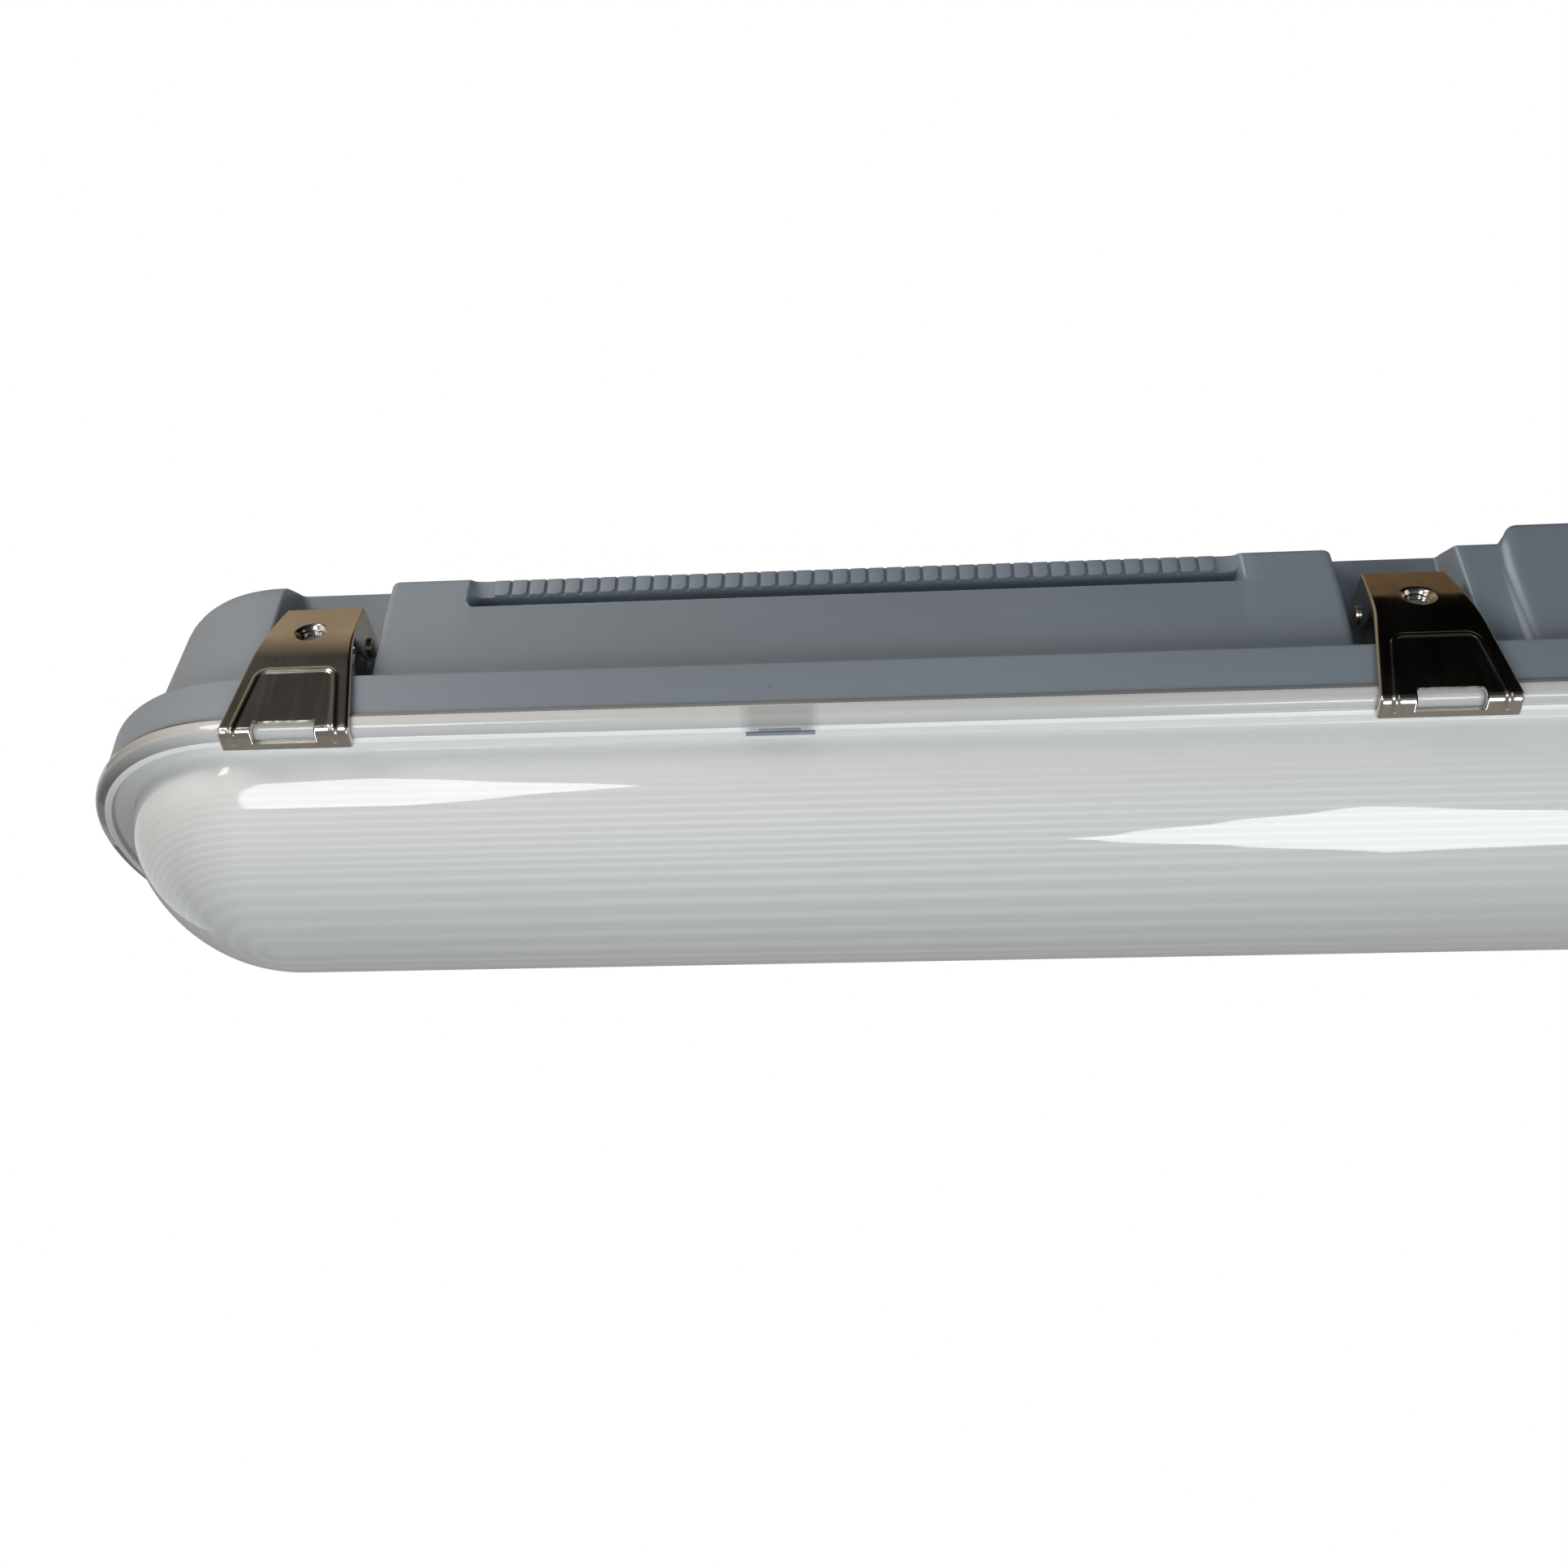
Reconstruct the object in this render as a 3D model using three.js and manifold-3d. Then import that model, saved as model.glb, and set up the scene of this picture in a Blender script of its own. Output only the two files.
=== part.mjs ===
// Vapor tight linear light fixture for a ceiling.
// A long grey moulded housing holds a steel gear tray with a driver and light boards.
// A milky diffuser closes it from below against a gasket, and ten steel toggle latches hold the diffuser.
// Units are millimetres, +Z is up, +X runs along the fixture, and the latches' front row faces -Y.
// The origin is the middle of the roof's flat top, where the fixture meets the ceiling.
// While a piece is shaped, z = 0 is the underside of the diffuser's rim.
import * as THREE from 'three';
import { mergeVertices } from 'three/addons/utils/BufferGeometryUtils.js';
import Module from 'manifold-3d';

// Clearances
const GAP = 0.3;

// Plan outline, shared by everything that follows the fixture's edge
const OVERALL_LENGTH = 1260;
const END_ROUNDNESS = 0.94;
const END_POWER = 2.07;
const END_STEPS = 10;

// Diffuser
const RIM_HALF_WIDTH = 49.6;
const RIM_HEIGHT = 4;
const RIM_LIP_WIDTH = 3.6;
const RIM_GROOVE_DEPTH = 2.2;
const DOME_RIM_WIDTH = 9.6;
const DOME_DEPTH = 28.3;
const DOME_POWER = 1.76;
const DOME_WALL = 2.2;
const DOME_STEPS = 8;
const DOME_SWEEP = 0.97;
const RIM_EDGE_CHAMFER = 0.4;
const RIM_GROOVE_DRAFT = 0.6;
const RIM_GROOVE_START = 1;
const TONGUE_WIDTH = 1.2;
const TONGUE_HEIGHT = 3.6;

// Housing
const BAND_RIM_INSET = 1;
const BAND_TOP = 16.5;
const CHANNEL_BAND_INSET = 4.2;
const CHANNEL_WIDTH = 3.8;
const CHANNEL_TOP = 11;
const TRUNK_BAND_INSET = 5.2;
const TRUNK_DRAFT = 2.4;
const TRUNK_SHOULDER_Z = 46.5;
const ROOF_SHOULDER_WIDTH = 10.5;
const ROOF_Z = 56.4;
const CHANNEL_INNER_WALL = 2.4;
const SHOULDER_WALL = 4.4;
const WALL = 2.5;
const BLOCK_EDGE_Z = 50.2;
const BLOCK_EDGE_STANDOFF = 0.2;
const BLOCK_EDGE_CHAMFER = 0.9;
const CROWN_RISE = 4.6;
const CROWN_SWELL = 1.4;
const CROWN_LATCH_DISTANCE = 22.86;
const POCKET_HALF_LENGTH = 13.6;
const POCKET_DEPTH = 18.1;

// Bracket racks along the raised blocks
const RACK_OUTER_MARGIN = 20;
const RACK_INNER_MARGIN = 21.6;
const RACK_GROOVE_Z = 41.2;
const RACK_GROOVE_DEPTH = 3;
const RACK_TEETH_LOW_Z = 46.8;
const RACK_TEETH_TOP_Z = 50.7;
const RACK_TOOTH_COUNT = 40;
const RACK_TEETH_INSET = 4.9;
const RACK_TOOTH_DEPTH = 0.9;
const RACK_NOTCH_WIDTH = 0.85;
const RACK_ROOT_LAP = 1;

// Latch positions, from the end of the fixture and from one latch to the next
const LATCH_END_DISTANCE = 60.14;
const LATCH_PITCH = 250;

// Latch clip, drawn in the plane across the fixture as distance outward and height
const SHEET = 0.8;
const CLIP_BOTTOM_WIDTH = 29.7;
const CLIP_WAIST_WIDTH = 22;
const CLIP_TOP_WIDTH = 19;
const CLIP_PANEL_STANDOFF = 1.6;
const CLIP_PANEL_LEAN = 1.2;
const CLIP_WAIST_Z = 26;
const CLIP_TOP_Z = 40.5;
const CLIP_TOP_INSET = 6.7;
const HOOK_REACH = 4.8;
const HOOK_DROP = 1;
const SLOT_WIDTH = 14.2;
const SLOT_TOP_Z = 2.2;
const SLOT_TIP_STRIP = 1.5;
const EMBOSS_TOP_Z = 16.9;
const EMBOSS_TOP_WIDTH = 17.3;
const EMBOSS_MARGIN = 2.7;
const EMBOSS_RISE = 0.5;
const SCREW_HOLE_RADIUS = 2.6;
const SCREW_COLLAR_WALL = 1;
const SCREW_COLLAR_LENGTH = 2.6;
const SCREW_HOLE_Z = 30;

// Latch link and pins
const PIVOT_BAND_INSET = 13.5;
const PIVOT_Z = 35;
const HINGE_BAND_INSET = 14.6;
const HINGE_Z = 24;
const PIVOT_PIN_RADIUS = 1.45;
const PIVOT_HEAD_RADIUS = 2.5;
const PIVOT_HEAD_THICKNESS = 1.1;
const TRUNNION_RADIUS = 1.3;
const CHEEK_THICKNESS = 1;
const LINK_END_RADIUS = 2.8;
const EAR_THICKNESS = 2.7;
const EAR_RADIUS = 2.9;

// Gear tray and what it carries
const TRAY_UNDERSIDE_Z = 6;
const TRAY_SHEET = 1;
const TRAY_SIDE_CLEARANCE = 3.1;
const TRAY_FLANGE_HEIGHT = 7;
const TRAY_END_DISTANCE = 58;
const BOARD_LENGTH = 280;
const BOARD_WIDTH = 30;
const BOARD_THICKNESS = 1.6;
const BOARD_GAP = 4;
const CHIP_ROWS = 2;
const CHIPS_PER_ROW = 7;
const CHIP_SIZE = 3;
const CHIP_HEIGHT = 0.7;
const CHIP_ROW_SPACING = 14;
const DRIVER_LENGTH = 240;
const DRIVER_WIDTH = 44;
const DRIVER_HEIGHT = 27;
const DRIVER_SHEET = 1;
const DRIVER_FOOT_LENGTH = 12;
const TERMINAL_LENGTH = 26;
const TERMINAL_WIDTH = 34;
const TERMINAL_HEIGHT = 15;
const TERMINAL_PILLAR_DISTANCE = 120;
const TERMINAL_WAYS = 3;
const TERMINAL_MOUTH_SIZE = 5;
const TERMINAL_MOUTH_DEPTH = 8;
const TERMINAL_MOUTH_RISE = 5.25;
const TERMINAL_SCREW_WELL_RADIUS = 2.2;
const TERMINAL_SCREW_WELL_DEPTH = 5;
const TERMINAL_SCREW_OFFSET = 4;
const LEAD_RADIUS = 1.6;
const LEAD_SIDES = 8;

// Screws
const SCREW_SHANK_RADIUS = 1.7;
const SCREW_HEAD_RADIUS = 3.2;
const SCREW_HEAD_HEIGHT = 1.6;
const SCREW_SIDES = 8;
const PILLAR_RADIUS = 4.6;
const PILLAR_TRAY_MARGIN = 122;
const PILLAR_TRAY_INSET = 10;
const PILLAR_SCREW_DEPTH = 10;

// Cable gland on the +X end
const GLAND_Z = 33;
const GLAND_BOSS_RADIUS = 14;
const GLAND_BOSS_INSET = 4;
const GLAND_WALL = 13;
const GLAND_THREAD_RADIUS = 8;
const GLAND_HEX_RADIUS = 12.5;
const GLAND_HEX_THICKNESS = 5;
const GLAND_NECK_RADIUS = 7;
const GLAND_NECK_LENGTH = 7;
const GLAND_BORE_RADIUS = 4.5;
const GLAND_NUT_RADIUS = 10.8;
const GLAND_NUT_LENGTH = 13;
const GLAND_NUT_TAPER_LENGTH = 4;
const GLAND_NUT_MOUTH_CLEARANCE = 0.6;
const GLAND_SEAL_LENGTH = 4;
const LOCKNUT_THICKNESS = 4.4;
const GLAND_SIDES = 18;

// Values that follow from the sizes above
const ROOF_CROWN_Z = ROOF_Z + CROWN_RISE;
const END_CENTRE_X = OVERALL_LENGTH / 2 - END_ROUNDNESS * RIM_HALF_WIDTH;
const RIM_TOP_SEAT_Z = RIM_HEIGHT + GAP;
const OUTER_LATCH_X = OVERALL_LENGTH / 2 - LATCH_END_DISTANCE;
const INNER_LATCH_X = OUTER_LATCH_X - LATCH_PITCH;
const LATCH_STATIONS = [-OUTER_LATCH_X, -INNER_LATCH_X, 0, INNER_LATCH_X, OUTER_LATCH_X];
const CROWN_HALF_LENGTH = INNER_LATCH_X - CROWN_LATCH_DISTANCE;
const TRAY_HALF_LENGTH = OVERALL_LENGTH / 2 - TRAY_END_DISTANCE;
const PILLAR_X = TRAY_HALF_LENGTH - PILLAR_TRAY_MARGIN;
const TERMINAL_X = PILLAR_X - TERMINAL_PILLAR_DISTANCE;
const BOARD_SPACING = BOARD_LENGTH + BOARD_GAP;
const BOARD_COUNT = Math.floor((2 * TRAY_HALF_LENGTH + BOARD_GAP) / BOARD_SPACING);
const GLAND_BOSS_FACE = OVERALL_LENGTH / 2 - GLAND_BOSS_INSET;
const DOME_HALF_WIDTH = RIM_HALF_WIDTH - DOME_RIM_WIDTH;
const BAND_HALF_WIDTH = RIM_HALF_WIDTH - BAND_RIM_INSET;
const CHANNEL_MIDDLE = BAND_HALF_WIDTH - CHANNEL_BAND_INSET;
const TRUNK_HALF_WIDTH = BAND_HALF_WIDTH - TRUNK_BAND_INSET;
const TRUNK_SHOULDER_HALF_WIDTH = TRUNK_HALF_WIDTH - TRUNK_DRAFT;
const ROOF_HALF_WIDTH = TRUNK_SHOULDER_HALF_WIDTH - ROOF_SHOULDER_WIDTH;
const CAVITY_HALF_WIDTH = CHANNEL_MIDDLE - CHANNEL_WIDTH / 2 - CHANNEL_INNER_WALL;
const CAVITY_SHOULDER_HALF_WIDTH = TRUNK_SHOULDER_HALF_WIDTH - SHOULDER_WALL;
const BLOCK_EDGE_HALF_WIDTH = TRUNK_SHOULDER_HALF_WIDTH + BLOCK_EDGE_STANDOFF;
const POCKET_BACK = BAND_HALF_WIDTH - POCKET_DEPTH;
const PIVOT_OUT = BAND_HALF_WIDTH - PIVOT_BAND_INSET;
const HINGE_OUT = BAND_HALF_WIDTH - HINGE_BAND_INSET;
const TRAY_HALF_WIDTH = CAVITY_HALF_WIDTH - TRAY_SIDE_CLEARANCE;
const PILLAR_Y = TRAY_HALF_WIDTH - PILLAR_TRAY_INSET;
const CLIP_BEND_OUT = RIM_HALF_WIDTH + CLIP_PANEL_STANDOFF;
const TRAY_TOP_Z = TRAY_UNDERSIDE_Z + TRAY_SHEET;
const DRIVER_BASE_Z = TRAY_TOP_Z + GAP;
const TERMINAL_MOUTH_Z = DRIVER_BASE_Z + TERMINAL_MOUTH_RISE;
const BOARD_TOP_Z = TRAY_UNDERSIDE_Z - GAP;
const BOARD_BOTTOM_Z = BOARD_TOP_Z - BOARD_THICKNESS;

const wasm = await Module();
wasm.setup();

// A closed geometry becomes a solid, turned right side out where its winding points inward
function solid(geometry) {
  const bare = geometry.clone();
  bare.deleteAttribute('normal');
  bare.deleteAttribute('uv');
  const merged = mergeVertices(bare, 1e-5);
  const position = merged.getAttribute('position');
  const triangles = Array.from(merged.index.array);
  const [a, b, c] = [new THREE.Vector3(), new THREE.Vector3(), new THREE.Vector3()];
  let volume = 0;
  for (let i = 0; i < triangles.length; i += 3) {
    a.fromBufferAttribute(position, triangles[i]);
    b.fromBufferAttribute(position, triangles[i + 1]);
    c.fromBufferAttribute(position, triangles[i + 2]);
    volume += a.dot(b.cross(c));
  }
  if (volume < 0) triangles.reverse();
  return new wasm.Manifold(new wasm.Mesh({
    numProp: 3,
    vertProperties: new Float32Array(position.array),
    triVerts: new Uint32Array(triangles),
  }));
}

const join = (first, ...others) => others.reduce((sum, piece) => sum.add(piece), first);
const cut = (first, ...others) => others.reduce((rest, piece) => rest.subtract(piece), first);

const ordered = (a, b) => [Math.min(a, b), Math.max(a, b)];

function box(x0, x1, y0, y1, z0, z1) {
  const geometry = new THREE.BoxGeometry(x1 - x0, y1 - y0, z1 - z0);
  return solid(geometry.translate((x0 + x1) / 2, (y0 + y1) / 2, (z0 + z1) / 2));
}

// A flat outline in one plane, pushed along the axis square to it from one place to another
function prism(points, axis, from, to) {
  const shape = new THREE.Shape(points.map(([u, v]) => new THREE.Vector2(u, v)));
  const geometry = new THREE.ExtrudeGeometry(shape, { depth: to - from, bevelEnabled: false });
  geometry.translate(0, 0, from);
  const [x, y, z] = [new THREE.Vector3(1, 0, 0), new THREE.Vector3(0, 1, 0), new THREE.Vector3(0, 0, 1)];
  const frames = { x: [y, z, x], y: [x, z, y], z: [x, y, z] };
  return solid(geometry.applyMatrix4(new THREE.Matrix4().makeBasis(...frames[axis])));
}

// A turned piece, as radius and place along its axis, which points along +Z or +X
function turned(profile, axis, sides = SCREW_SIDES) {
  const geometry = new THREE.LatheGeometry(profile.map(([r, h]) => new THREE.Vector2(r, h)), sides);
  geometry.rotateX(Math.PI / 2);
  if (axis === 'x') geometry.rotateY(Math.PI / 2);
  return solid(geometry);
}

function rod(radius, axis, from, to, sides = SCREW_SIDES) {
  return turned([[0, from], [radius, from], [radius, to], [0, to]], axis, sides);
}

// The plan outline at a given half width: straight sides and rounded ends
function planOutline(halfWidth) {
  const points = [];
  for (const side of [1, -1]) {
    for (let i = 0; i <= END_STEPS; i++) {
      const angle = Math.PI * (i / END_STEPS - 0.5);
      const reach = Math.cos(angle) ** (2 / END_POWER);
      const spread = Math.sign(angle) * Math.abs(Math.sin(angle)) ** (2 / END_POWER);
      const x = END_CENTRE_X + END_ROUNDNESS * halfWidth * (i % END_STEPS === 0 ? 0 : reach);
      points.push(new THREE.Vector2(side * x, side * halfWidth * spread));
    }
  }
  return points;
}

// Rings of the plan outline, one for each half width and height of a section.
// A closed section makes a frame; an open one is capped at its first and last ring.
function around(section, closed = false) {
  const rings = section.map(([halfWidth]) => planOutline(halfWidth));
  const count = rings[0].length;
  const positions = rings.flatMap((ring, r) => ring.flatMap((p) => [p.x, p.y, section[r][1]]));
  const index = [];
  const bands = closed ? rings.length : rings.length - 1;
  for (let r = 0; r < bands; r++) {
    const next = (r + 1) % rings.length;
    for (let i = 0; i < count; i++) {
      const j = (i + 1) % count;
      index.push(r * count + i, r * count + j, next * count + j);
      index.push(r * count + i, next * count + j, next * count + i);
    }
  }
  if (!closed) {
    const last = (rings.length - 1) * count;
    for (const [a, b, c] of THREE.ShapeUtils.triangulateShape(rings[0], [])) index.push(c, b, a);
    for (const [a, b, c] of THREE.ShapeUtils.triangulateShape(rings.at(-1), [])) {
      index.push(last + a, last + b, last + c);
    }
  }
  const geometry = new THREE.BufferGeometry();
  geometry.setAttribute('position', new THREE.Float32BufferAttribute(positions, 3));
  geometry.setIndex(index);
  return solid(geometry);
}

// The same section on both sides of the middle, for a prism along the fixture
function mirrored(halfSection) {
  const left = [...halfSection].reverse().map(([u, v]) => [-u, v]);
  return [...halfSection, ...left];
}

const finishes = {
  housing: { color: 0x7c8287, roughness: 0.5, metalness: 0 },
  diffuser: { color: 0xe9eaea, roughness: 0.25, metalness: 0 },
  gasket: { color: 0xd9d9d4, roughness: 0.9, metalness: 0 },
  steel: { color: 0xb4b0a8, roughness: 0.2, metalness: 1 },
  tray: { color: 0xf2f2f0, roughness: 0.45, metalness: 0.1 },
  board: { color: 0xf5f5f2, roughness: 0.5, metalness: 0 },
  zinc: { color: 0xc9ccce, roughness: 0.35, metalness: 1 },
  nylon: { color: 0xe4e2dc, roughness: 0.55, metalness: 0 },
  gland: { color: 0x8b9196, roughness: 0.5, metalness: 0 },
  rubber: { color: 0x2a2a2a, roughness: 0.85, metalness: 0 },
  lead: { color: 0xdedcd6, roughness: 0.6, metalness: 0 },
};

function node(name, piece, finish, parent) {
  const mesh = piece.getMesh();
  const geometry = new THREE.BufferGeometry();
  geometry.setAttribute('position', new THREE.BufferAttribute(new Float32Array(mesh.vertProperties), 3));
  geometry.setIndex(new THREE.BufferAttribute(new Uint32Array(mesh.triVerts), 1));
  geometry.computeVertexNormals();
  const placed = new THREE.Mesh(geometry, new THREE.MeshStandardMaterial(finishes[finish]));
  placed.name = name;
  parent.add(placed);
  return placed;
}

// The diffuser: a ribbed dome's plain shell with the rim that the latches hook under,
// and a tongue that presses the gasket all the way round
function domeSection(halfWidth, depth) {
  const points = [];
  for (let i = 0; i <= DOME_STEPS; i++) {
    const angle = (Math.PI / 2) * (i / DOME_STEPS) * DOME_SWEEP;
    points.push([
      halfWidth * Math.cos(angle) ** (2 / DOME_POWER),
      -depth * Math.sin(angle) ** (2 / DOME_POWER),
    ]);
  }
  return points;
}

function makeDiffuser() {
  const outer = domeSection(DOME_HALF_WIDTH, DOME_DEPTH);
  const inner = domeSection(DOME_HALF_WIDTH - DOME_WALL, DOME_DEPTH - DOME_WALL);
  const lipInner = RIM_HALF_WIDTH - RIM_LIP_WIDTH;
  const tongueInner = CHANNEL_MIDDLE - TONGUE_WIDTH / 2;
  return around([
    ...inner.reverse(),
    [DOME_HALF_WIDTH - DOME_WALL, RIM_HEIGHT],
    [tongueInner, RIM_HEIGHT],
    [tongueInner, RIM_HEIGHT + TONGUE_HEIGHT],
    [tongueInner + TONGUE_WIDTH, RIM_HEIGHT + TONGUE_HEIGHT],
    [tongueInner + TONGUE_WIDTH, RIM_HEIGHT],
    [RIM_HALF_WIDTH, RIM_HEIGHT],
    [RIM_HALF_WIDTH, RIM_EDGE_CHAMFER],
    [RIM_HALF_WIDTH - RIM_EDGE_CHAMFER, 0],
    [lipInner, 0],
    [lipInner - RIM_GROOVE_DRAFT, RIM_GROOVE_DEPTH],
    [DOME_HALF_WIDTH + RIM_GROOVE_START, RIM_GROOVE_DEPTH],
    ...outer,
  ]);
}

function makeGasket() {
  const halfWidth = CHANNEL_WIDTH / 2 - GAP;
  const bottom = RIM_HEIGHT + TONGUE_HEIGHT + GAP;
  const top = CHANNEL_TOP - GAP;
  return around([
    [CHANNEL_MIDDLE - halfWidth, bottom],
    [CHANNEL_MIDDLE + halfWidth, bottom],
    [CHANNEL_MIDDLE + halfWidth, top],
    [CHANNEL_MIDDLE - halfWidth, top],
  ], true);
}

// The housing's raised blocks between the latch pockets, and the taller crown in the middle
function blockSection(rise, swell) {
  return [
    [TRUNK_HALF_WIDTH + swell, BAND_TOP - 1],
    [BLOCK_EDGE_HALF_WIDTH + swell, BLOCK_EDGE_Z + rise - BLOCK_EDGE_CHAMFER],
    [BLOCK_EDGE_HALF_WIDTH + swell - BLOCK_EDGE_CHAMFER, BLOCK_EDGE_Z + rise],
    [ROOF_HALF_WIDTH, ROOF_Z + rise],
  ];
}

function shoulder(halfWidth, z, roofHalfWidth, roofZ, steps) {
  const points = [];
  for (let i = 0; i <= steps; i++) {
    const angle = (Math.PI / 2) * (i / steps);
    points.push([
      roofHalfWidth + (halfWidth - roofHalfWidth) * Math.cos(angle),
      z + (roofZ - z) * Math.sin(angle),
    ]);
  }
  return points;
}

function makeHousingShell() {
  const trunk = around([
    [TRUNK_HALF_WIDTH, BAND_TOP - 1],
    ...shoulder(TRUNK_SHOULDER_HALF_WIDTH, TRUNK_SHOULDER_Z, ROOF_HALF_WIDTH, ROOF_Z, 5),
  ]);
  const band = around([[BAND_HALF_WIDTH, RIM_TOP_SEAT_Z], [BAND_HALF_WIDTH, BAND_TOP]]);
  const section = mirrored(blockSection(0, 0));
  const reach = OUTER_LATCH_X - POCKET_HALF_LENGTH;
  const blocks = prism(section, 'x', -reach, reach);
  const crownSection = mirrored(blockSection(CROWN_RISE, CROWN_SWELL));
  const crown = prism(crownSection, 'x', -CROWN_HALF_LENGTH, CROWN_HALF_LENGTH);
  const gland = rod(GLAND_BOSS_RADIUS, 'x', END_CENTRE_X, GLAND_BOSS_FACE, GLAND_SIDES)
    .translate([0, 0, GLAND_Z]);
  return join(band, trunk, blocks, crown, gland);
}

function makeCavity() {
  const arch = shoulder(CAVITY_SHOULDER_HALF_WIDTH, TRUNK_SHOULDER_Z - WALL,
    ROOF_HALF_WIDTH - WALL, ROOF_Z - WALL, 3);
  const inner = around([[CAVITY_HALF_WIDTH, 0], [CAVITY_HALF_WIDTH, BAND_TOP], ...arch]);
  const crown = prism(mirrored([
    [CAVITY_SHOULDER_HALF_WIDTH, BAND_TOP],
    [CAVITY_SHOULDER_HALF_WIDTH, TRUNK_SHOULDER_Z + CROWN_RISE - WALL],
    [ROOF_HALF_WIDTH - WALL, ROOF_CROWN_Z - WALL],
  ]), 'x', -CROWN_HALF_LENGTH + WALL, CROWN_HALF_LENGTH - WALL);
  return join(inner, crown);
}

function pocket(x, side, grow) {
  const halfLength = POCKET_HALF_LENGTH + grow;
  const depth = ordered(side * (POCKET_BACK - grow), side * 2 * BAND_HALF_WIDTH);
  return box(x - halfLength, x + halfLength, ...depth, BAND_TOP - grow, ROOF_CROWN_Z + 1);
}

// Two ears stand in each pocket and carry the link's trunnions
function latchEars(x, side) {
  const outer = earOuterX();
  const ears = [-1, 1].map((hand) => {
    const from = x + (hand > 0 ? outer - EAR_THICKNESS : -outer);
    const root = box(from, from + EAR_THICKNESS, ...ordered(side * (POCKET_BACK - 1), side * HINGE_OUT),
      HINGE_Z - EAR_RADIUS, HINGE_Z + EAR_RADIUS);
    const eye = rod(EAR_RADIUS, 'x', from, from + EAR_THICKNESS).translate([0, side * HINGE_OUT, HINGE_Z]);
    return join(root, eye);
  });
  const bore = rod(TRUNNION_RADIUS + GAP, 'x', x - outer - 1, x + outer + 1)
    .translate([0, side * HINGE_OUT, HINGE_Z]);
  return cut(join(...ears), bore);
}

const wingOuterX = () => CLIP_TOP_WIDTH / 2;
const cheekOuterX = () => wingOuterX() - SHEET - 2 * GAP;
const earOuterX = () => cheekOuterX() - CHEEK_THICKNESS - GAP;

// A rack on each side of the raised block between two pockets: a groove that a bracket's
// hook runs in, with a row of flat teeth on its back wall that stop the bracket from sliding
const toothRootOut = BLOCK_EDGE_HALF_WIDTH - RACK_GROOVE_DEPTH;
const toothFaceOut = toothRootOut + RACK_TOOTH_DEPTH;

function rackCut(x0, x1, side) {
  const outside = side * (BLOCK_EDGE_HALF_WIDTH + RACK_GROOVE_DEPTH);
  return box(x0, x1, ...ordered(side * toothRootOut, outside), RACK_GROOVE_Z, ROOF_Z);
}

function rackTeeth(x0, x1, side) {
  const pitch = (x1 - x0) / RACK_TOOTH_COUNT;
  const buried = side * (toothRootOut - RACK_ROOT_LAP);
  const comb = [[x1, buried], [x0, buried]];
  for (let i = 0; i < RACK_TOOTH_COUNT; i++) {
    const root = x0 + pitch * i;
    comb.push([root, side * (i === 0 ? toothFaceOut : toothRootOut)]);
    comb.push([root + RACK_NOTCH_WIDTH / 2, side * toothFaceOut]);
    comb.push([root + pitch - RACK_NOTCH_WIDTH / 2, side * toothFaceOut]);
  }
  comb.push([x1, side * toothFaceOut]);
  return prism(comb, 'z', RACK_TEETH_LOW_Z, RACK_TEETH_TOP_Z);
}

function makeHousing() {
  const channelHalf = CHANNEL_WIDTH / 2;
  const channel = around([
    [CHANNEL_MIDDLE - channelHalf, 0],
    [CHANNEL_MIDDLE + channelHalf, 0],
    [CHANNEL_MIDDLE + channelHalf, CHANNEL_TOP],
    [CHANNEL_MIDDLE - channelHalf, CHANNEL_TOP],
  ], true);
  const sides = [1, -1];
  const pockets = sides.flatMap((side) => LATCH_STATIONS.map((x) => pocket(x, side, 0)));
  const pocketWalls = sides.flatMap((side) => LATCH_STATIONS.map((x) => pocket(x, side, WALL)));
  const ears = sides.flatMap((side) => LATCH_STATIONS.map((x) => latchEars(x, side)));
  const racks = sides.map((end) => [
    end * (OUTER_LATCH_X - POCKET_HALF_LENGTH - RACK_OUTER_MARGIN),
    end * (INNER_LATCH_X + POCKET_HALF_LENGTH + RACK_INNER_MARGIN),
  ].sort((a, b) => a - b));
  const grooves = racks.flatMap(([x0, x1]) => sides.map((side) => rackCut(x0, x1, side)));
  const teeth = racks.flatMap(([x0, x1]) => sides.map((side) => (
    rackTeeth(x0 + RACK_TEETH_INSET, x1 - RACK_TEETH_INSET, side))));
  const pillars = sides.flatMap((end) => sides.map((side) => cut(
    rod(PILLAR_RADIUS, 'z', TRAY_TOP_Z + GAP, ROOF_Z - WALL / 2, 12),
    rod(SCREW_SHANK_RADIUS + GAP, 'z', 0, TRAY_TOP_Z + PILLAR_SCREW_DEPTH + GAP),
  ).translate([end * PILLAR_X, side * PILLAR_Y, 0])));
  const glandBoss = rod(GLAND_BOSS_RADIUS, 'x', GLAND_BOSS_FACE - GLAND_WALL, GLAND_BOSS_FACE, GLAND_SIDES)
    .translate([0, 0, GLAND_Z]);
  const glandBore = rod(GLAND_THREAD_RADIUS + GAP, 'x', END_CENTRE_X, GLAND_BOSS_FACE + 1, GLAND_SIDES)
    .translate([0, 0, GLAND_Z]);
  const cavity = cut(makeCavity(), ...pocketWalls);
  const shell = cut(makeHousingShell(), ...pockets, ...grooves, cavity, channel);
  return cut(join(shell, ...ears, ...teeth, ...pillars, glandBoss), glandBore);
}

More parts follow.
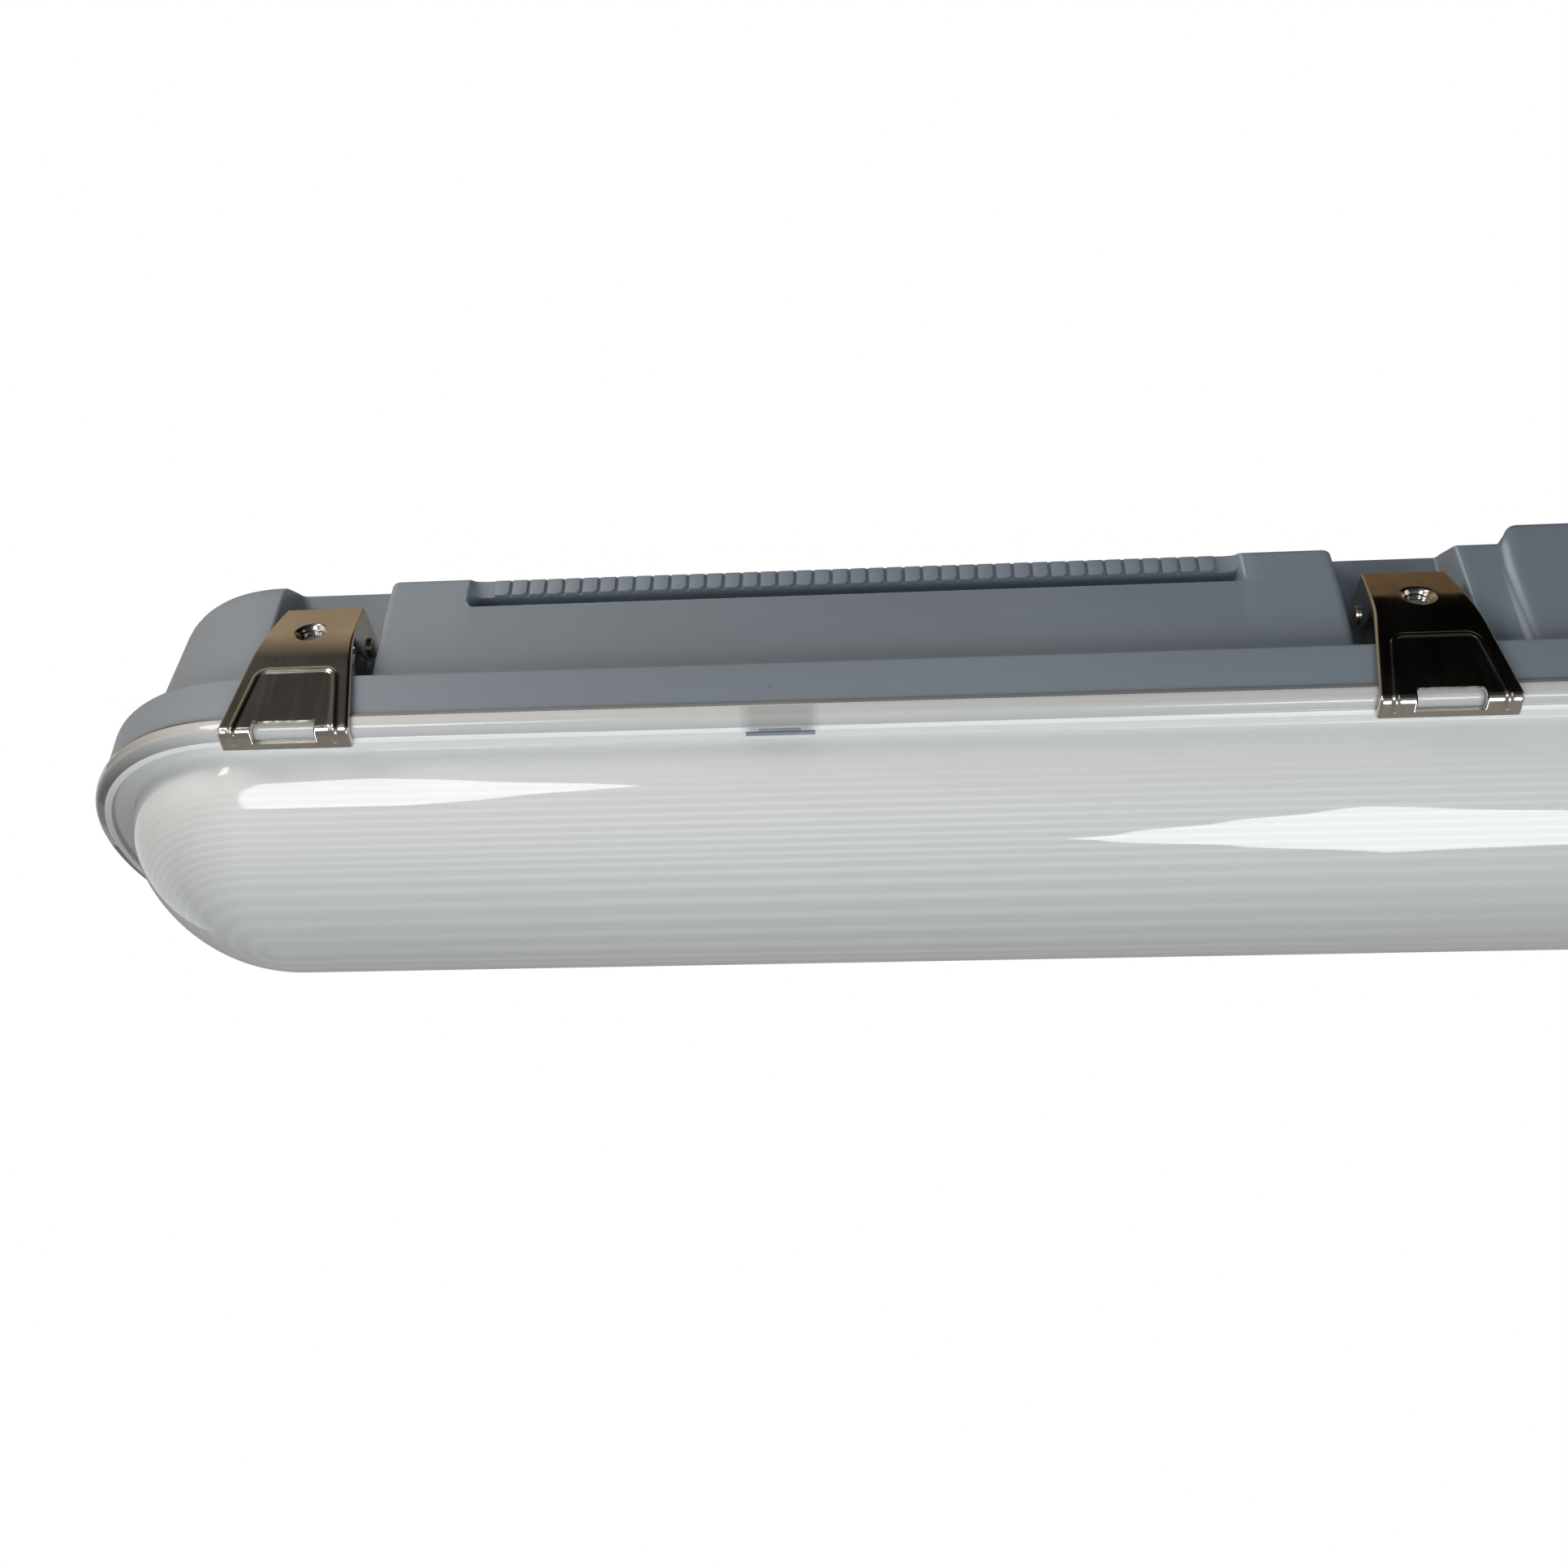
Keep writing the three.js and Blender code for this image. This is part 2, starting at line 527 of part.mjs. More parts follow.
// The latch clip in its own place: x is 0 at the latch's middle and the fixture's side faces -Y
function clipSheetSection(inset, raise) {
  const waistOut = CLIP_BEND_OUT - CLIP_PANEL_LEAN;
  return [
    [CLIP_BEND_OUT - HOOK_REACH, -SHEET - GAP - HOOK_DROP + raise],
    [CLIP_BEND_OUT - 0.5 - inset, -SHEET - GAP + raise],
    [CLIP_BEND_OUT - inset, raise],
    [waistOut - inset, CLIP_WAIST_Z],
    [waistOut - CLIP_TOP_INSET - inset, CLIP_TOP_Z],
  ];
}

const facing = (points) => points.map(([out, z]) => [-out, z]);

function makeClip() {
  const outer = clipSheetSection(0, 0);
  const inner = clipSheetSection(SHEET, SHEET);
  const sheet = prism(facing([...outer, ...inner.reverse()]), 'x', -CLIP_BOTTOM_WIDTH, CLIP_BOTTOM_WIDTH);
  const front = mirrored([
    [CLIP_BOTTOM_WIDTH / 2, -5],
    [CLIP_BOTTOM_WIDTH / 2, 0],
    [CLIP_WAIST_WIDTH / 2, CLIP_WAIST_Z],
    [CLIP_TOP_WIDTH / 2, CLIP_TOP_Z + 1],
  ]);
  const stamped = sheet.intersect(prism(front, 'y', -2 * CLIP_BEND_OUT, 0));
  const leanPerMm = CLIP_PANEL_LEAN / CLIP_WAIST_Z;
  const embossSection = [
    [CLIP_BEND_OUT - 0.2, 0.2],
    [CLIP_BEND_OUT + EMBOSS_RISE, 0.2],
    [CLIP_BEND_OUT + EMBOSS_RISE - EMBOSS_TOP_Z * leanPerMm, EMBOSS_TOP_Z],
    [CLIP_BEND_OUT - 0.2 - EMBOSS_TOP_Z * leanPerMm, EMBOSS_TOP_Z],
  ];
  const embossOutline = mirrored([
    [CLIP_BOTTOM_WIDTH / 2 - EMBOSS_MARGIN, 0],
    [EMBOSS_TOP_WIDTH / 2, EMBOSS_TOP_Z + 1],
  ]);
  const emboss = prism(facing(embossSection), 'x', -CLIP_BOTTOM_WIDTH, CLIP_BOTTOM_WIDTH)
    .intersect(prism(embossOutline, 'y', -2 * CLIP_BEND_OUT, 0));
  const slot = box(-SLOT_WIDTH / 2, SLOT_WIDTH / 2, -CLIP_BEND_OUT - 5,
    -(CLIP_BEND_OUT - HOOK_REACH + SLOT_TIP_STRIP), -5, SLOT_TOP_Z);
  const { collar, hole } = makeScrewCollar();
  const wings = [-1, 1].map((hand) => makeWing(hand));
  const pinHoles = rod(PIVOT_PIN_RADIUS + GAP, 'x', -CLIP_TOP_WIDTH, CLIP_TOP_WIDTH)
    .translate([0, -PIVOT_OUT, PIVOT_Z]);
  return cut(join(stamped, emboss, collar, ...wings), slot, hole, pinHoles);
}

// A collar is drawn inward through the upper sheet and tapped for a locking screw
function makeScrewCollar() {
  const lean = Math.atan2(CLIP_TOP_INSET, CLIP_TOP_Z - CLIP_WAIST_Z);
  const along = (SCREW_HOLE_Z - CLIP_WAIST_Z) / (CLIP_TOP_Z - CLIP_WAIST_Z);
  const out = CLIP_BEND_OUT - CLIP_PANEL_LEAN - along * CLIP_TOP_INSET;
  const place = (piece) => piece.rotate([90 - THREE.MathUtils.radToDeg(lean), 0, 0])
    .translate([0, -out, SCREW_HOLE_Z]);
  return {
    collar: place(rod(SCREW_HOLE_RADIUS + SCREW_COLLAR_WALL, 'z', -SCREW_COLLAR_LENGTH, -SHEET / 2, 12)),
    hole: place(rod(SCREW_HOLE_RADIUS, 'z', -SCREW_COLLAR_LENGTH - 3, 3, 12)),
  };
}

// A side wing is folded back from the clip's upper edge and carries the pivot pin
function makeWing(hand) {
  const waistInner = CLIP_BEND_OUT - CLIP_PANEL_LEAN - SHEET / 2;
  const outline = facing([
    [waistInner - CLIP_TOP_INSET, CLIP_TOP_Z - 0.4],
    [PIVOT_OUT - 2.2, PIVOT_Z + 4],
    [PIVOT_OUT - 3.2, PIVOT_Z + 1],
    [PIVOT_OUT - 2, PIVOT_Z - 2.8],
    [PIVOT_OUT + 2.4, PIVOT_Z - 4.4],
    [waistInner - 0.3, CLIP_WAIST_Z + 1],
  ]);
  return prism(outline, 'x', ...ordered(hand * wingOuterX(), hand * (wingOuterX() - SHEET)));
}

function makePivotPin() {
  const shank = wingOuterX() + GAP;
  const head = shank + PIVOT_HEAD_THICKNESS;
  const crown = PIVOT_HEAD_RADIUS * 0.7;
  return turned([
    [0, -head], [crown, -head], [PIVOT_HEAD_RADIUS, -shank], [PIVOT_PIN_RADIUS, -shank],
    [PIVOT_PIN_RADIUS, shank], [PIVOT_HEAD_RADIUS, shank], [crown, head], [0, head],
  ], 'x').translate([0, -PIVOT_OUT, PIVOT_Z]);
}

// The link: two cheeks joined by a web, with a trunnion on each cheek at the hinge
function makeLink() {
  const hinge = new THREE.Vector2(-HINGE_OUT, HINGE_Z);
  const pivot = new THREE.Vector2(-PIVOT_OUT, PIVOT_Z);
  const along = pivot.clone().sub(hinge);
  const heading = along.angle();
  const outline = [];
  for (const [centre, start] of [[pivot, heading - Math.PI / 2], [hinge, heading + Math.PI / 2]]) {
    for (let i = 0; i <= 4; i++) {
      const angle = start + (Math.PI * i) / 4;
      const x = centre.x + LINK_END_RADIUS * Math.cos(angle);
      outline.push([x, centre.y + LINK_END_RADIUS * Math.sin(angle)]);
    }
  }
  const outer = cheekOuterX();
  const inner = outer - CHEEK_THICKNESS;
  const cheeks = [prism(outline, 'x', inner, outer), prism(outline, 'x', -outer, -inner)];
  const at = (distance, offset) => {
    const unit = along.clone().normalize();
    return [hinge.x + unit.x * distance - unit.y * offset, hinge.y + unit.y * distance + unit.x * offset];
  };
  const webFrom = EAR_RADIUS + 1.6;
  const webTo = along.length() - PIVOT_PIN_RADIUS - 2;
  const back = -LINK_END_RADIUS;
  const web = prism([at(webFrom, back), at(webTo, back), at(webTo, back + 1), at(webFrom, back + 1)],
    'x', -inner - 0.2, inner + 0.2);
  const stubEnd = earOuterX() - EAR_THICKNESS + 0.4;
  const stubs = [[stubEnd, inner + 0.3], [-inner - 0.3, -stubEnd]].map(([from, to]) => (
    rod(TRUNNION_RADIUS, 'x', from, to).translate([0, -HINGE_OUT, HINGE_Z])
  ));
  const pinHole = rod(PIVOT_PIN_RADIUS + GAP, 'x', -outer - 1, outer + 1).translate([0, -PIVOT_OUT, PIVOT_Z]);
  return cut(join(...cheeks, web, ...stubs), pinHole);
}

// The gear tray: a folded channel screwed up to the housing's pillars
const boardX = (i) => (i - (BOARD_COUNT - 1) / 2) * BOARD_SPACING;
const trayScrewPlaces = [-1, 1].flatMap((side) => [-1, 1].map((end) => [end * PILLAR_X, side * PILLAR_Y]));
const driverScrewX = DRIVER_LENGTH / 2 + DRIVER_FOOT_LENGTH / 2;

function screwHole(x, y) {
  return rod(SCREW_SHANK_RADIUS + GAP, 'z', 0, DRIVER_BASE_Z + DRIVER_HEIGHT).translate([x, y, 0]);
}

function makeTray() {
  const channel = [
    [TRAY_HALF_WIDTH, TRAY_UNDERSIDE_Z],
    [TRAY_HALF_WIDTH, TRAY_UNDERSIDE_Z + TRAY_FLANGE_HEIGHT],
    [TRAY_HALF_WIDTH - TRAY_SHEET, TRAY_UNDERSIDE_Z + TRAY_FLANGE_HEIGHT],
    [TRAY_HALF_WIDTH - TRAY_SHEET, TRAY_TOP_Z],
  ];
  const plate = prism(mirrored(channel), 'x', -TRAY_HALF_LENGTH, TRAY_HALF_LENGTH);
  const places = [
    ...trayScrewPlaces,
    ...Array.from({ length: BOARD_COUNT }, (_, i) => [boardX(i), 0]),
    [-driverScrewX, 0],
    [driverScrewX, 0],
  ];
  const holes = places.map(([x, y]) => screwHole(x, y));
  return cut(plate, ...holes);
}

function makeBoard() {
  const board = box(-BOARD_LENGTH / 2, BOARD_LENGTH / 2, -BOARD_WIDTH / 2, BOARD_WIDTH / 2,
    BOARD_BOTTOM_Z, BOARD_TOP_Z);
  const chips = [];
  for (let row = 0; row < CHIP_ROWS; row++) {
    const y = (row - (CHIP_ROWS - 1) / 2) * CHIP_ROW_SPACING;
    for (let i = 0; i < CHIPS_PER_ROW; i++) {
      const x = (i - (CHIPS_PER_ROW - 1) / 2) * (BOARD_LENGTH / CHIPS_PER_ROW);
      chips.push(box(x - CHIP_SIZE / 2, x + CHIP_SIZE / 2, y - CHIP_SIZE / 2, y + CHIP_SIZE / 2,
        BOARD_BOTTOM_Z - CHIP_HEIGHT, BOARD_BOTTOM_Z + 0.2));
    }
  }
  return cut(join(board, ...chips), screwHole(0, 0));
}

// A screw whose head lies under seatZ, or over it where it points down
function screw(seatZ, length, up) {
  const way = up ? 1 : -1;
  const head = seatZ - way * GAP;
  return turned([
    [0, head - way * SCREW_HEAD_HEIGHT],
    [SCREW_HEAD_RADIUS * 0.75, head - way * SCREW_HEAD_HEIGHT],
    [SCREW_HEAD_RADIUS, head],
    [SCREW_SHANK_RADIUS, head],
    [SCREW_SHANK_RADIUS, seatZ + way * length],
    [0, seatZ + way * length],
  ], 'z');
}

function makeDriverCase() {
  const half = DRIVER_LENGTH / 2;
  const wide = DRIVER_WIDTH / 2;
  const top = DRIVER_BASE_Z + DRIVER_HEIGHT;
  const body = box(-half, half, -wide, wide, DRIVER_BASE_Z, top);
  const feet = box(-half - DRIVER_FOOT_LENGTH, half + DRIVER_FOOT_LENGTH, -wide * 0.7, wide * 0.7,
    DRIVER_BASE_Z, DRIVER_BASE_Z + DRIVER_SHEET);
  const holes = [-1, 1].map((end) => screwHole(end * driverScrewX, 0));
  return cut(join(body, feet), ...holes);
}

function makeTerminalBlock() {
  const [start, end] = [TERMINAL_X - TERMINAL_LENGTH / 2, TERMINAL_X + TERMINAL_LENGTH / 2];
  const top = DRIVER_BASE_Z + TERMINAL_HEIGHT;
  const block = box(start, end, -TERMINAL_WIDTH / 2, TERMINAL_WIDTH / 2, DRIVER_BASE_Z, top);
  const way = TERMINAL_WIDTH / TERMINAL_WAYS;
  const reach = TERMINAL_MOUTH_SIZE / 2;
  const cuts = [];
  for (let i = 0; i < TERMINAL_WAYS; i++) {
    const y = (i - (TERMINAL_WAYS - 1) / 2) * way;
    const well = rod(TERMINAL_SCREW_WELL_RADIUS, 'z', top - TERMINAL_SCREW_WELL_DEPTH, top + 1);
    cuts.push(box(end - TERMINAL_MOUTH_DEPTH, end + 1, y - reach, y + reach,
      TERMINAL_MOUTH_Z - reach, TERMINAL_MOUTH_Z + reach));
    cuts.push(well.translate([TERMINAL_X - TERMINAL_SCREW_OFFSET, y, 0]));
  }
  return cut(block, ...cuts);
}

// A lead lies along the tray and ends face to face with what it joins
function makeLead(from, to) {
  return rod(LEAD_RADIUS, 'x', from, to, LEAD_SIDES).translate([0, 0, TERMINAL_MOUTH_Z]);
}

// The cable gland on the end, with its inside locknut, cap nut and blank sealing plug
const glandNeckStart = GLAND_BOSS_FACE + GAP + GLAND_HEX_THICKNESS;
const glandNeckEnd = glandNeckStart + GLAND_NECK_LENGTH;
const lift = (piece) => piece.translate([0, 0, GLAND_Z]);

function makeGlandBody() {
  const inside = GLAND_BOSS_FACE - GLAND_WALL - GAP - LOCKNUT_THICKNESS - 2;
  const hex = rod(GLAND_HEX_RADIUS, 'x', GLAND_BOSS_FACE + GAP, glandNeckStart, 6);
  const thread = rod(GLAND_THREAD_RADIUS, 'x', inside, glandNeckStart - 1, GLAND_SIDES);
  const neck = rod(GLAND_NECK_RADIUS, 'x', glandNeckStart - 1, glandNeckEnd, GLAND_SIDES);
  const bore = rod(GLAND_BORE_RADIUS, 'x', inside - 1, glandNeckEnd + 1, GLAND_SIDES);
  return lift(cut(join(hex, thread, neck), bore));
}

function makeGlandNut() {
  const start = glandNeckStart + GAP;
  const end = start + GLAND_NUT_LENGTH;
  const sealRoom = glandNeckEnd + GAP + GLAND_SEAL_LENGTH + GAP;
  const outside = turned([
    [0, start], [GLAND_NUT_RADIUS, start], [GLAND_NUT_RADIUS, end - GLAND_NUT_TAPER_LENGTH],
    [GLAND_NUT_RADIUS * 0.8, end - 0.8], [GLAND_NUT_RADIUS * 0.68, end], [0, end],
  ], 'x', GLAND_SIDES);
  const room = rod(GLAND_NECK_RADIUS + GAP, 'x', start - 1, sealRoom, GLAND_SIDES);
  const mouth = rod(GLAND_BORE_RADIUS + GLAND_NUT_MOUTH_CLEARANCE, 'x', start, end + 1, GLAND_SIDES);
  return lift(cut(outside, room, mouth));
}

function makeGlandSeal() {
  const start = glandNeckEnd + GAP;
  return lift(rod(GLAND_NECK_RADIUS - GAP, 'x', start, start + GLAND_SEAL_LENGTH, GLAND_SIDES));
}

function makeLocknut() {
  const face = GLAND_BOSS_FACE - GLAND_WALL - GAP;
  return lift(cut(rod(GLAND_HEX_RADIUS, 'x', face - LOCKNUT_THICKNESS, face, 6),
    rod(GLAND_THREAD_RADIUS + GAP, 'x', face - LOCKNUT_THICKNESS - 1, face + 1, GLAND_SIDES)));
}

// Assembly
const group = new THREE.Group();
const fixture = new THREE.Group();
fixture.position.z = -ROOF_CROWN_Z;
group.add(fixture);

node('housing', makeHousing(), 'housing', fixture);
node('gasket', makeGasket(), 'gasket', fixture);
node('diffuser', makeDiffuser(), 'diffuser', fixture);
node('gear_tray', makeTray(), 'tray', fixture);

const boardScrewLength = BOARD_THICKNESS + GAP + TRAY_SHEET;
for (let i = 0; i < BOARD_COUNT; i++) {
  node(`led_board_${i + 1}`, makeBoard(), 'board', fixture).position.x = boardX(i);
  const piece = screw(BOARD_BOTTOM_Z, boardScrewLength, true);
  node(`board_screw_${i + 1}`, piece, 'zinc', fixture).position.x = boardX(i);
}
trayScrewPlaces.forEach(([x, y], i) => {
  const piece = screw(TRAY_UNDERSIDE_Z, TRAY_SHEET + PILLAR_SCREW_DEPTH, true);
  node(`tray_screw_${i + 1}`, piece, 'zinc', fixture).position.set(x, y, 0);
});

node('led_driver', makeDriverCase(), 'zinc', fixture);
[-1, 1].forEach((end, i) => {
  const piece = screw(DRIVER_BASE_Z + DRIVER_SHEET, DRIVER_SHEET + GAP + TRAY_SHEET, false);
  node(`driver_screw_${i + 1}`, piece, 'zinc', fixture).position.x = end * driverScrewX;
});
node('terminal_block', makeTerminalBlock(), 'nylon', fixture);
const driverEnd = DRIVER_LENGTH / 2 + GAP;
const terminalStart = TERMINAL_X - TERMINAL_LENGTH / 2 - GAP;
node('mains_lead', makeLead(driverEnd, terminalStart), 'lead', fixture);

node('gland_body', makeGlandBody(), 'gland', fixture);
node('gland_nut', makeGlandNut(), 'gland', fixture);
node('gland_seal', makeGlandSeal(), 'rubber', fixture);
node('gland_locknut', makeLocknut(), 'gland', fixture);

const clip = makeClip();
const link = makeLink();
const pivotPin = makePivotPin();
for (const [row, turn] of [['front', 0], ['rear', Math.PI]]) {
  LATCH_STATIONS.forEach((x, i) => {
    const latch = new THREE.Group();
    latch.position.x = x;
    latch.rotation.z = turn;
    fixture.add(latch);
    node(`clip_${row}_${i + 1}`, clip, 'steel', latch);
    node(`link_${row}_${i + 1}`, link, 'steel', latch);
    node(`pivot_pin_${row}_${i + 1}`, pivotPin, 'steel', latch);
  });
}

export default group;
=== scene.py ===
import math

import bmesh
import bpy
import numpy as np
from mathutils import Matrix, Vector


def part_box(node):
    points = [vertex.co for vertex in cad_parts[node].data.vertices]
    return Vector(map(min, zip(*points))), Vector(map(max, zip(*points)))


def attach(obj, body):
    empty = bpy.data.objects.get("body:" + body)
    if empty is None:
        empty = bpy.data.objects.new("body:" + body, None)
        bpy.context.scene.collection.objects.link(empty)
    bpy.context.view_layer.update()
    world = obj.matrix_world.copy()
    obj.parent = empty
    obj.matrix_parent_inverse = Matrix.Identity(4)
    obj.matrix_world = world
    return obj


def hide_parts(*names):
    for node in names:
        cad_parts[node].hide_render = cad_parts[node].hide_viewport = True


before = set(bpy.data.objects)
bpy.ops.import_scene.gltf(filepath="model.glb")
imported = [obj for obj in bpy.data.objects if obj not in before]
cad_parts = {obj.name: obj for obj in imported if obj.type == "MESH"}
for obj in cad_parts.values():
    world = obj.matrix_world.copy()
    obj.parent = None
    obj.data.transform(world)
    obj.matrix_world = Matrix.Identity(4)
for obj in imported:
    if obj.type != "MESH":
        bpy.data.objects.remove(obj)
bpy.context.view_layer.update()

bl_info = {
    "name": "Vapor Tight Light Fixture",
    "version": (1, 0, 0),
    "blender": (4, 5, 0),
    "location": "View3D > Sidebar > Fixture",
    "description": "Dresses a sealed linear ceiling light with its housing, diffuser, latches and gland",
    "category": "Add Mesh",
}

# Shapes are drawn in millimetres from the underside of the diffuser's rim, as out from the middle and up
MM = 0.001
RIM_HEIGHT = 4.0
SEAT_GAP = 0.3
NEARLY = 1e-6
RIM_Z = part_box("housing")[0].z / MM - RIM_HEIGHT - SEAT_GAP
HALF_LENGTH = -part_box("diffuser")[0].x / MM
RIM_HALF_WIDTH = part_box("diffuser")[1].y / MM
DOME_DEPTH = RIM_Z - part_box("diffuser")[0].z / MM
ROWS = {"front": -1, "rear": 1}
ENDS = {"left": -1, "right": 1}
LATCHES = [(row, number) for row in ROWS for number in range(1, 6)]

# Angles in degrees from which an edge stays sharp, and widths of bevels in metres
SHARP = 35.0
SHELL_SHARP = 42.0
LENS_SHARP = 50.0
CLIP_SHARP = 48.0
CLIP_BEVEL_ANGLE = 60.0
HEXAGON_SHARP = 30.0
EAR_BEVEL = 0.00015
CLIP_BEVEL = 0.00014
GRIP_BEVEL = 0.00012
TOOTH_BEVEL = 0.0001
CATCH_BEVEL = 0.00008

# Plan outline of the ends
END_ROUNDNESS = 0.94
END_POWER = 2.07
END_STEPS = 40
END_CENTRE_X = HALF_LENGTH - END_ROUNDNESS * RIM_HALF_WIDTH

# Housing section, as (out, up) where a pair stands for a corner
BAND_OUT = 48.6
BAND_TOP = 16.5
TRUNK_FOOT_OUT = 43.4
BLOCK_EDGE = (41.2, 50.2)
END_EDGE = (40.6, 50.6)
END_SLOPE = 0.08
ROOF_EDGE = (30.5, 56.4)
ROOF_MIDDLE_OUT = 14.0
WALL = 2.5
CHANNEL = (42.5, 46.3, 11.0)
CAVITY_OUT = 40.1

# Inside of each kind of stretch: how far out the roof goes, the shoulder, and how far out the floor starts
INSIDE = {"pocket": (25.0, (27.5, 46.0), 27.5), "groove": (25.5, (30.8, 46.0), 39.0),
          "block": (28.0, (36.6, 44.0), 39.0)}

# Fillet at the foot and rounding at the edge of the walls across the fixture
CROWN_POCKET_RADII = (2.0, 1.3)
INNER_POCKET_RADII = (0.7, 0.8)
BLOCK_POCKET_RADII = (1.6, 2.2)
END_POCKET_RADII = (2.6, 0.8)
RACK_RADII = (3.2, 0.8)

# Crown, pockets and the draft of the ends, as values at heights
CROWN_RISE = 4.6
CROWN_SWELL = 1.4
CROWN_END_X = 297.6
CROWN_DRAFT_Z = (16.5, 45.0, 50.2, 56.4)
CROWN_DRAFT = (0.0, 2.0, 2.6, 8.0)
CROWN_REACH = (1.0, 2.8, 3.6, 9.0)
POCKET_HALF_LENGTH = 13.6
POCKET_END_X = 582.2
END_PULL = ((16.7, 18.0, 45.0), (0.0, 1.8, 2.8))

# Toothed groove for the mounting brackets
RACK_OUTER_MARGIN = 20.0
RACK_INNER_MARGIN = 21.6
RACK_GROOVE = (38.2, 41.2, 51.94)
RACK_SLOT = (34.2, 46.75)
RACK_CORNER_RADIUS = 1.5
TOOTH_FACE_OUT = 39.1
TOOTH_LOW_Z = 46.8
TOOTH_CHAMFER = 0.8
TOOTH_ROOF_GAP = 0.12

# Width and strength of the painted highlights along the edges of the walls and the groove's lower lip
CROWN_EDGE_HIGHLIGHT = (0.6, 1.1)
RACK_EDGE_HIGHLIGHT = (0.35, 0.7)
POCKET_EDGE_HIGHLIGHTS = ((-0.55, 0.3, 0.8), (0.3, 0.25, 0.6))
OUTER_POCKET_EDGE_HIGHLIGHT = (-0.8, 0.5, 0.25)
LEDGE_HIGHLIGHT = (0.3, 0.6)

# Latch ears, tray pillars and the boss for the gland
HINGE_OUT, HINGE_Z = 34.0, 24.0
EAR_OUTER = 6.8
EAR_THICKNESS = 2.7
EAR_RADIUS = 2.9
EAR_BORE = 1.6
EAR_LAP = 0.4
TRAY_TOP_Z = 7.0
PILLAR_X, PILLAR_OUT = 450.0, 27.0
PILLAR_RADIUS = 4.6
PILLAR_BORE = 2.0
PILLAR_BORE_DEPTH = 10.3
GLAND_Z = 33.0
BOSS_RADIUS = 14.0
BOSS_BORE = 8.3
BOSS_LENGTH = 13.0


def place(points):
    """Turns shape millimetres into the frame's metres."""
    points = np.asarray(points, float)
    return np.column_stack([points[:, 0], points[:, 1], points[:, 2] + RIM_Z]) * MM


def station_x(number):
    """Middle of a latch along the fixture, in millimetres."""
    low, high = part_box(f"clip_front_{number}")
    return (low.x + high.x) / 2 / MM


def rounded(corners):
    """A section from (out, up, setback, steps) corners, each with its corner eased over its setback."""
    places = np.array([corner[:2] for corner in corners], float)
    points = []
    for index, (_, _, setback, steps) in enumerate(corners):
        if steps == 0:
            points.append(places[index])
            continue
        before = places[index - 1] - places[index]
        after = places[index + 1] - places[index]
        before_length, after_length = np.hypot(*before), np.hypot(*after)
        reach = min(setback, 0.45 * before_length, 0.45 * after_length)
        start = places[index] + before / before_length * reach
        end = places[index] + after / after_length * reach
        for t in np.linspace(0, 1, steps + 1):
            points.append((1 - t) ** 2 * start + 2 * t * (1 - t) * places[index] + t * t * end)
    return np.array(points)


def plan_loop(straight):
    """Base x, x and y per unit of half width for each station round the plan, from the left tip."""
    power = 2 / END_POWER
    turn = np.linspace(0, math.pi / 2, END_STEPS + 1)[1:-1]
    reach = END_ROUNDNESS * np.cos(turn) ** power
    spread = np.sin(turn) ** power
    left = [(-END_CENTRE_X, -r, s) for r, s in zip(reach, spread)]
    right = [(END_CENTRE_X, r, s) for r, s in zip(reach, spread)]
    loop = [(-END_CENTRE_X, -END_ROUNDNESS, 0.0)]
    loop += [(x, r, -s) for x, r, s in left]
    loop += [(x, 0.0, -1.0) for x in straight]
    loop += [(x, r, -s) for x, r, s in reversed(right)]
    loop += [(END_CENTRE_X, END_ROUNDNESS, 0.0)]
    loop += right
    loop += [(x, 0.0, 1.0) for x in reversed(straight)]
    loop += list(reversed(left))
    return np.array(loop)


def loop_sections(sections, end_section):
    """Sections for every station of a plan loop, from those along its straight sides."""
    ends = [end_section] * END_STEPS
    near, far = list(sections), list(sections)[::-1]
    return np.array(ends + near + ends[1:] + ends + far + ends[1:])


def loft(loop, sections):
    """Vertices and faces of a closed shell whose first and last rings are capped across the fixture."""
    count, levels = sections.shape[:2]
    x = loop[:, 0:1] + loop[:, 1:2] * sections[:, :, 0]
    y = loop[:, 2:3] * sections[:, :, 0]
    points = np.stack([x, y, sections[:, :, 1]], axis=2).reshape(-1, 3)
    faces = []
    for i in range(count):
        a, b = i * levels, (i + 1) % count * levels
        faces += [(a + j, b + j, b + j + 1, a + j + 1) for j in range(levels - 1)]
    for j in (0, levels - 1):
        half = count // 2
        faces.append(tuple(k % count * levels + j for k in (0, 1, count - 1)))
        faces.append(tuple(k * levels + j for k in (half - 1, half, half + 1)))
        faces += [tuple(k * levels + j for k in (i, i + 1, count - i - 1, count - i))
                  for i in range(1, half - 1)]
    return points, faces


def new_object(name, points, faces, sharp=SHARP, recalculate=True):
    """A mesh object at the origin from points in metres, smooth but for its sharp edges."""
    mesh = bpy.data.meshes.new(name)
    mesh.from_pydata([tuple(p) for p in points], [], faces)
    if recalculate:
        shape = bmesh.new()
        shape.from_mesh(mesh)
        bmesh.ops.recalc_face_normals(shape, faces=shape.faces)
        shape.to_mesh(mesh)
        shape.free()
    mesh.polygons.foreach_set("use_smooth", [True] * len(mesh.polygons))
    mesh.set_sharp_from_angle(angle=math.radians(sharp))
    piece = bpy.data.objects.new(name, mesh)
    bpy.context.scene.collection.objects.link(piece)
    return piece


def bevel_edges(piece, width):
    """Adds a bevel to the piece's sharp edges."""
    modifier = piece.modifiers.new("ease", "BEVEL")
    modifier.width, modifier.segments, modifier.limit_method = width, 2, "ANGLE"
    return modifier


def baked(piece):
    """The piece with its modifiers turned into plain mesh."""
    bpy.context.view_layer.update()
    evaluated = piece.evaluated_get(bpy.context.evaluated_depsgraph_get())
    mesh = bpy.data.meshes.new_from_object(evaluated)
    piece.modifiers.clear()
    piece.data = mesh
    return piece


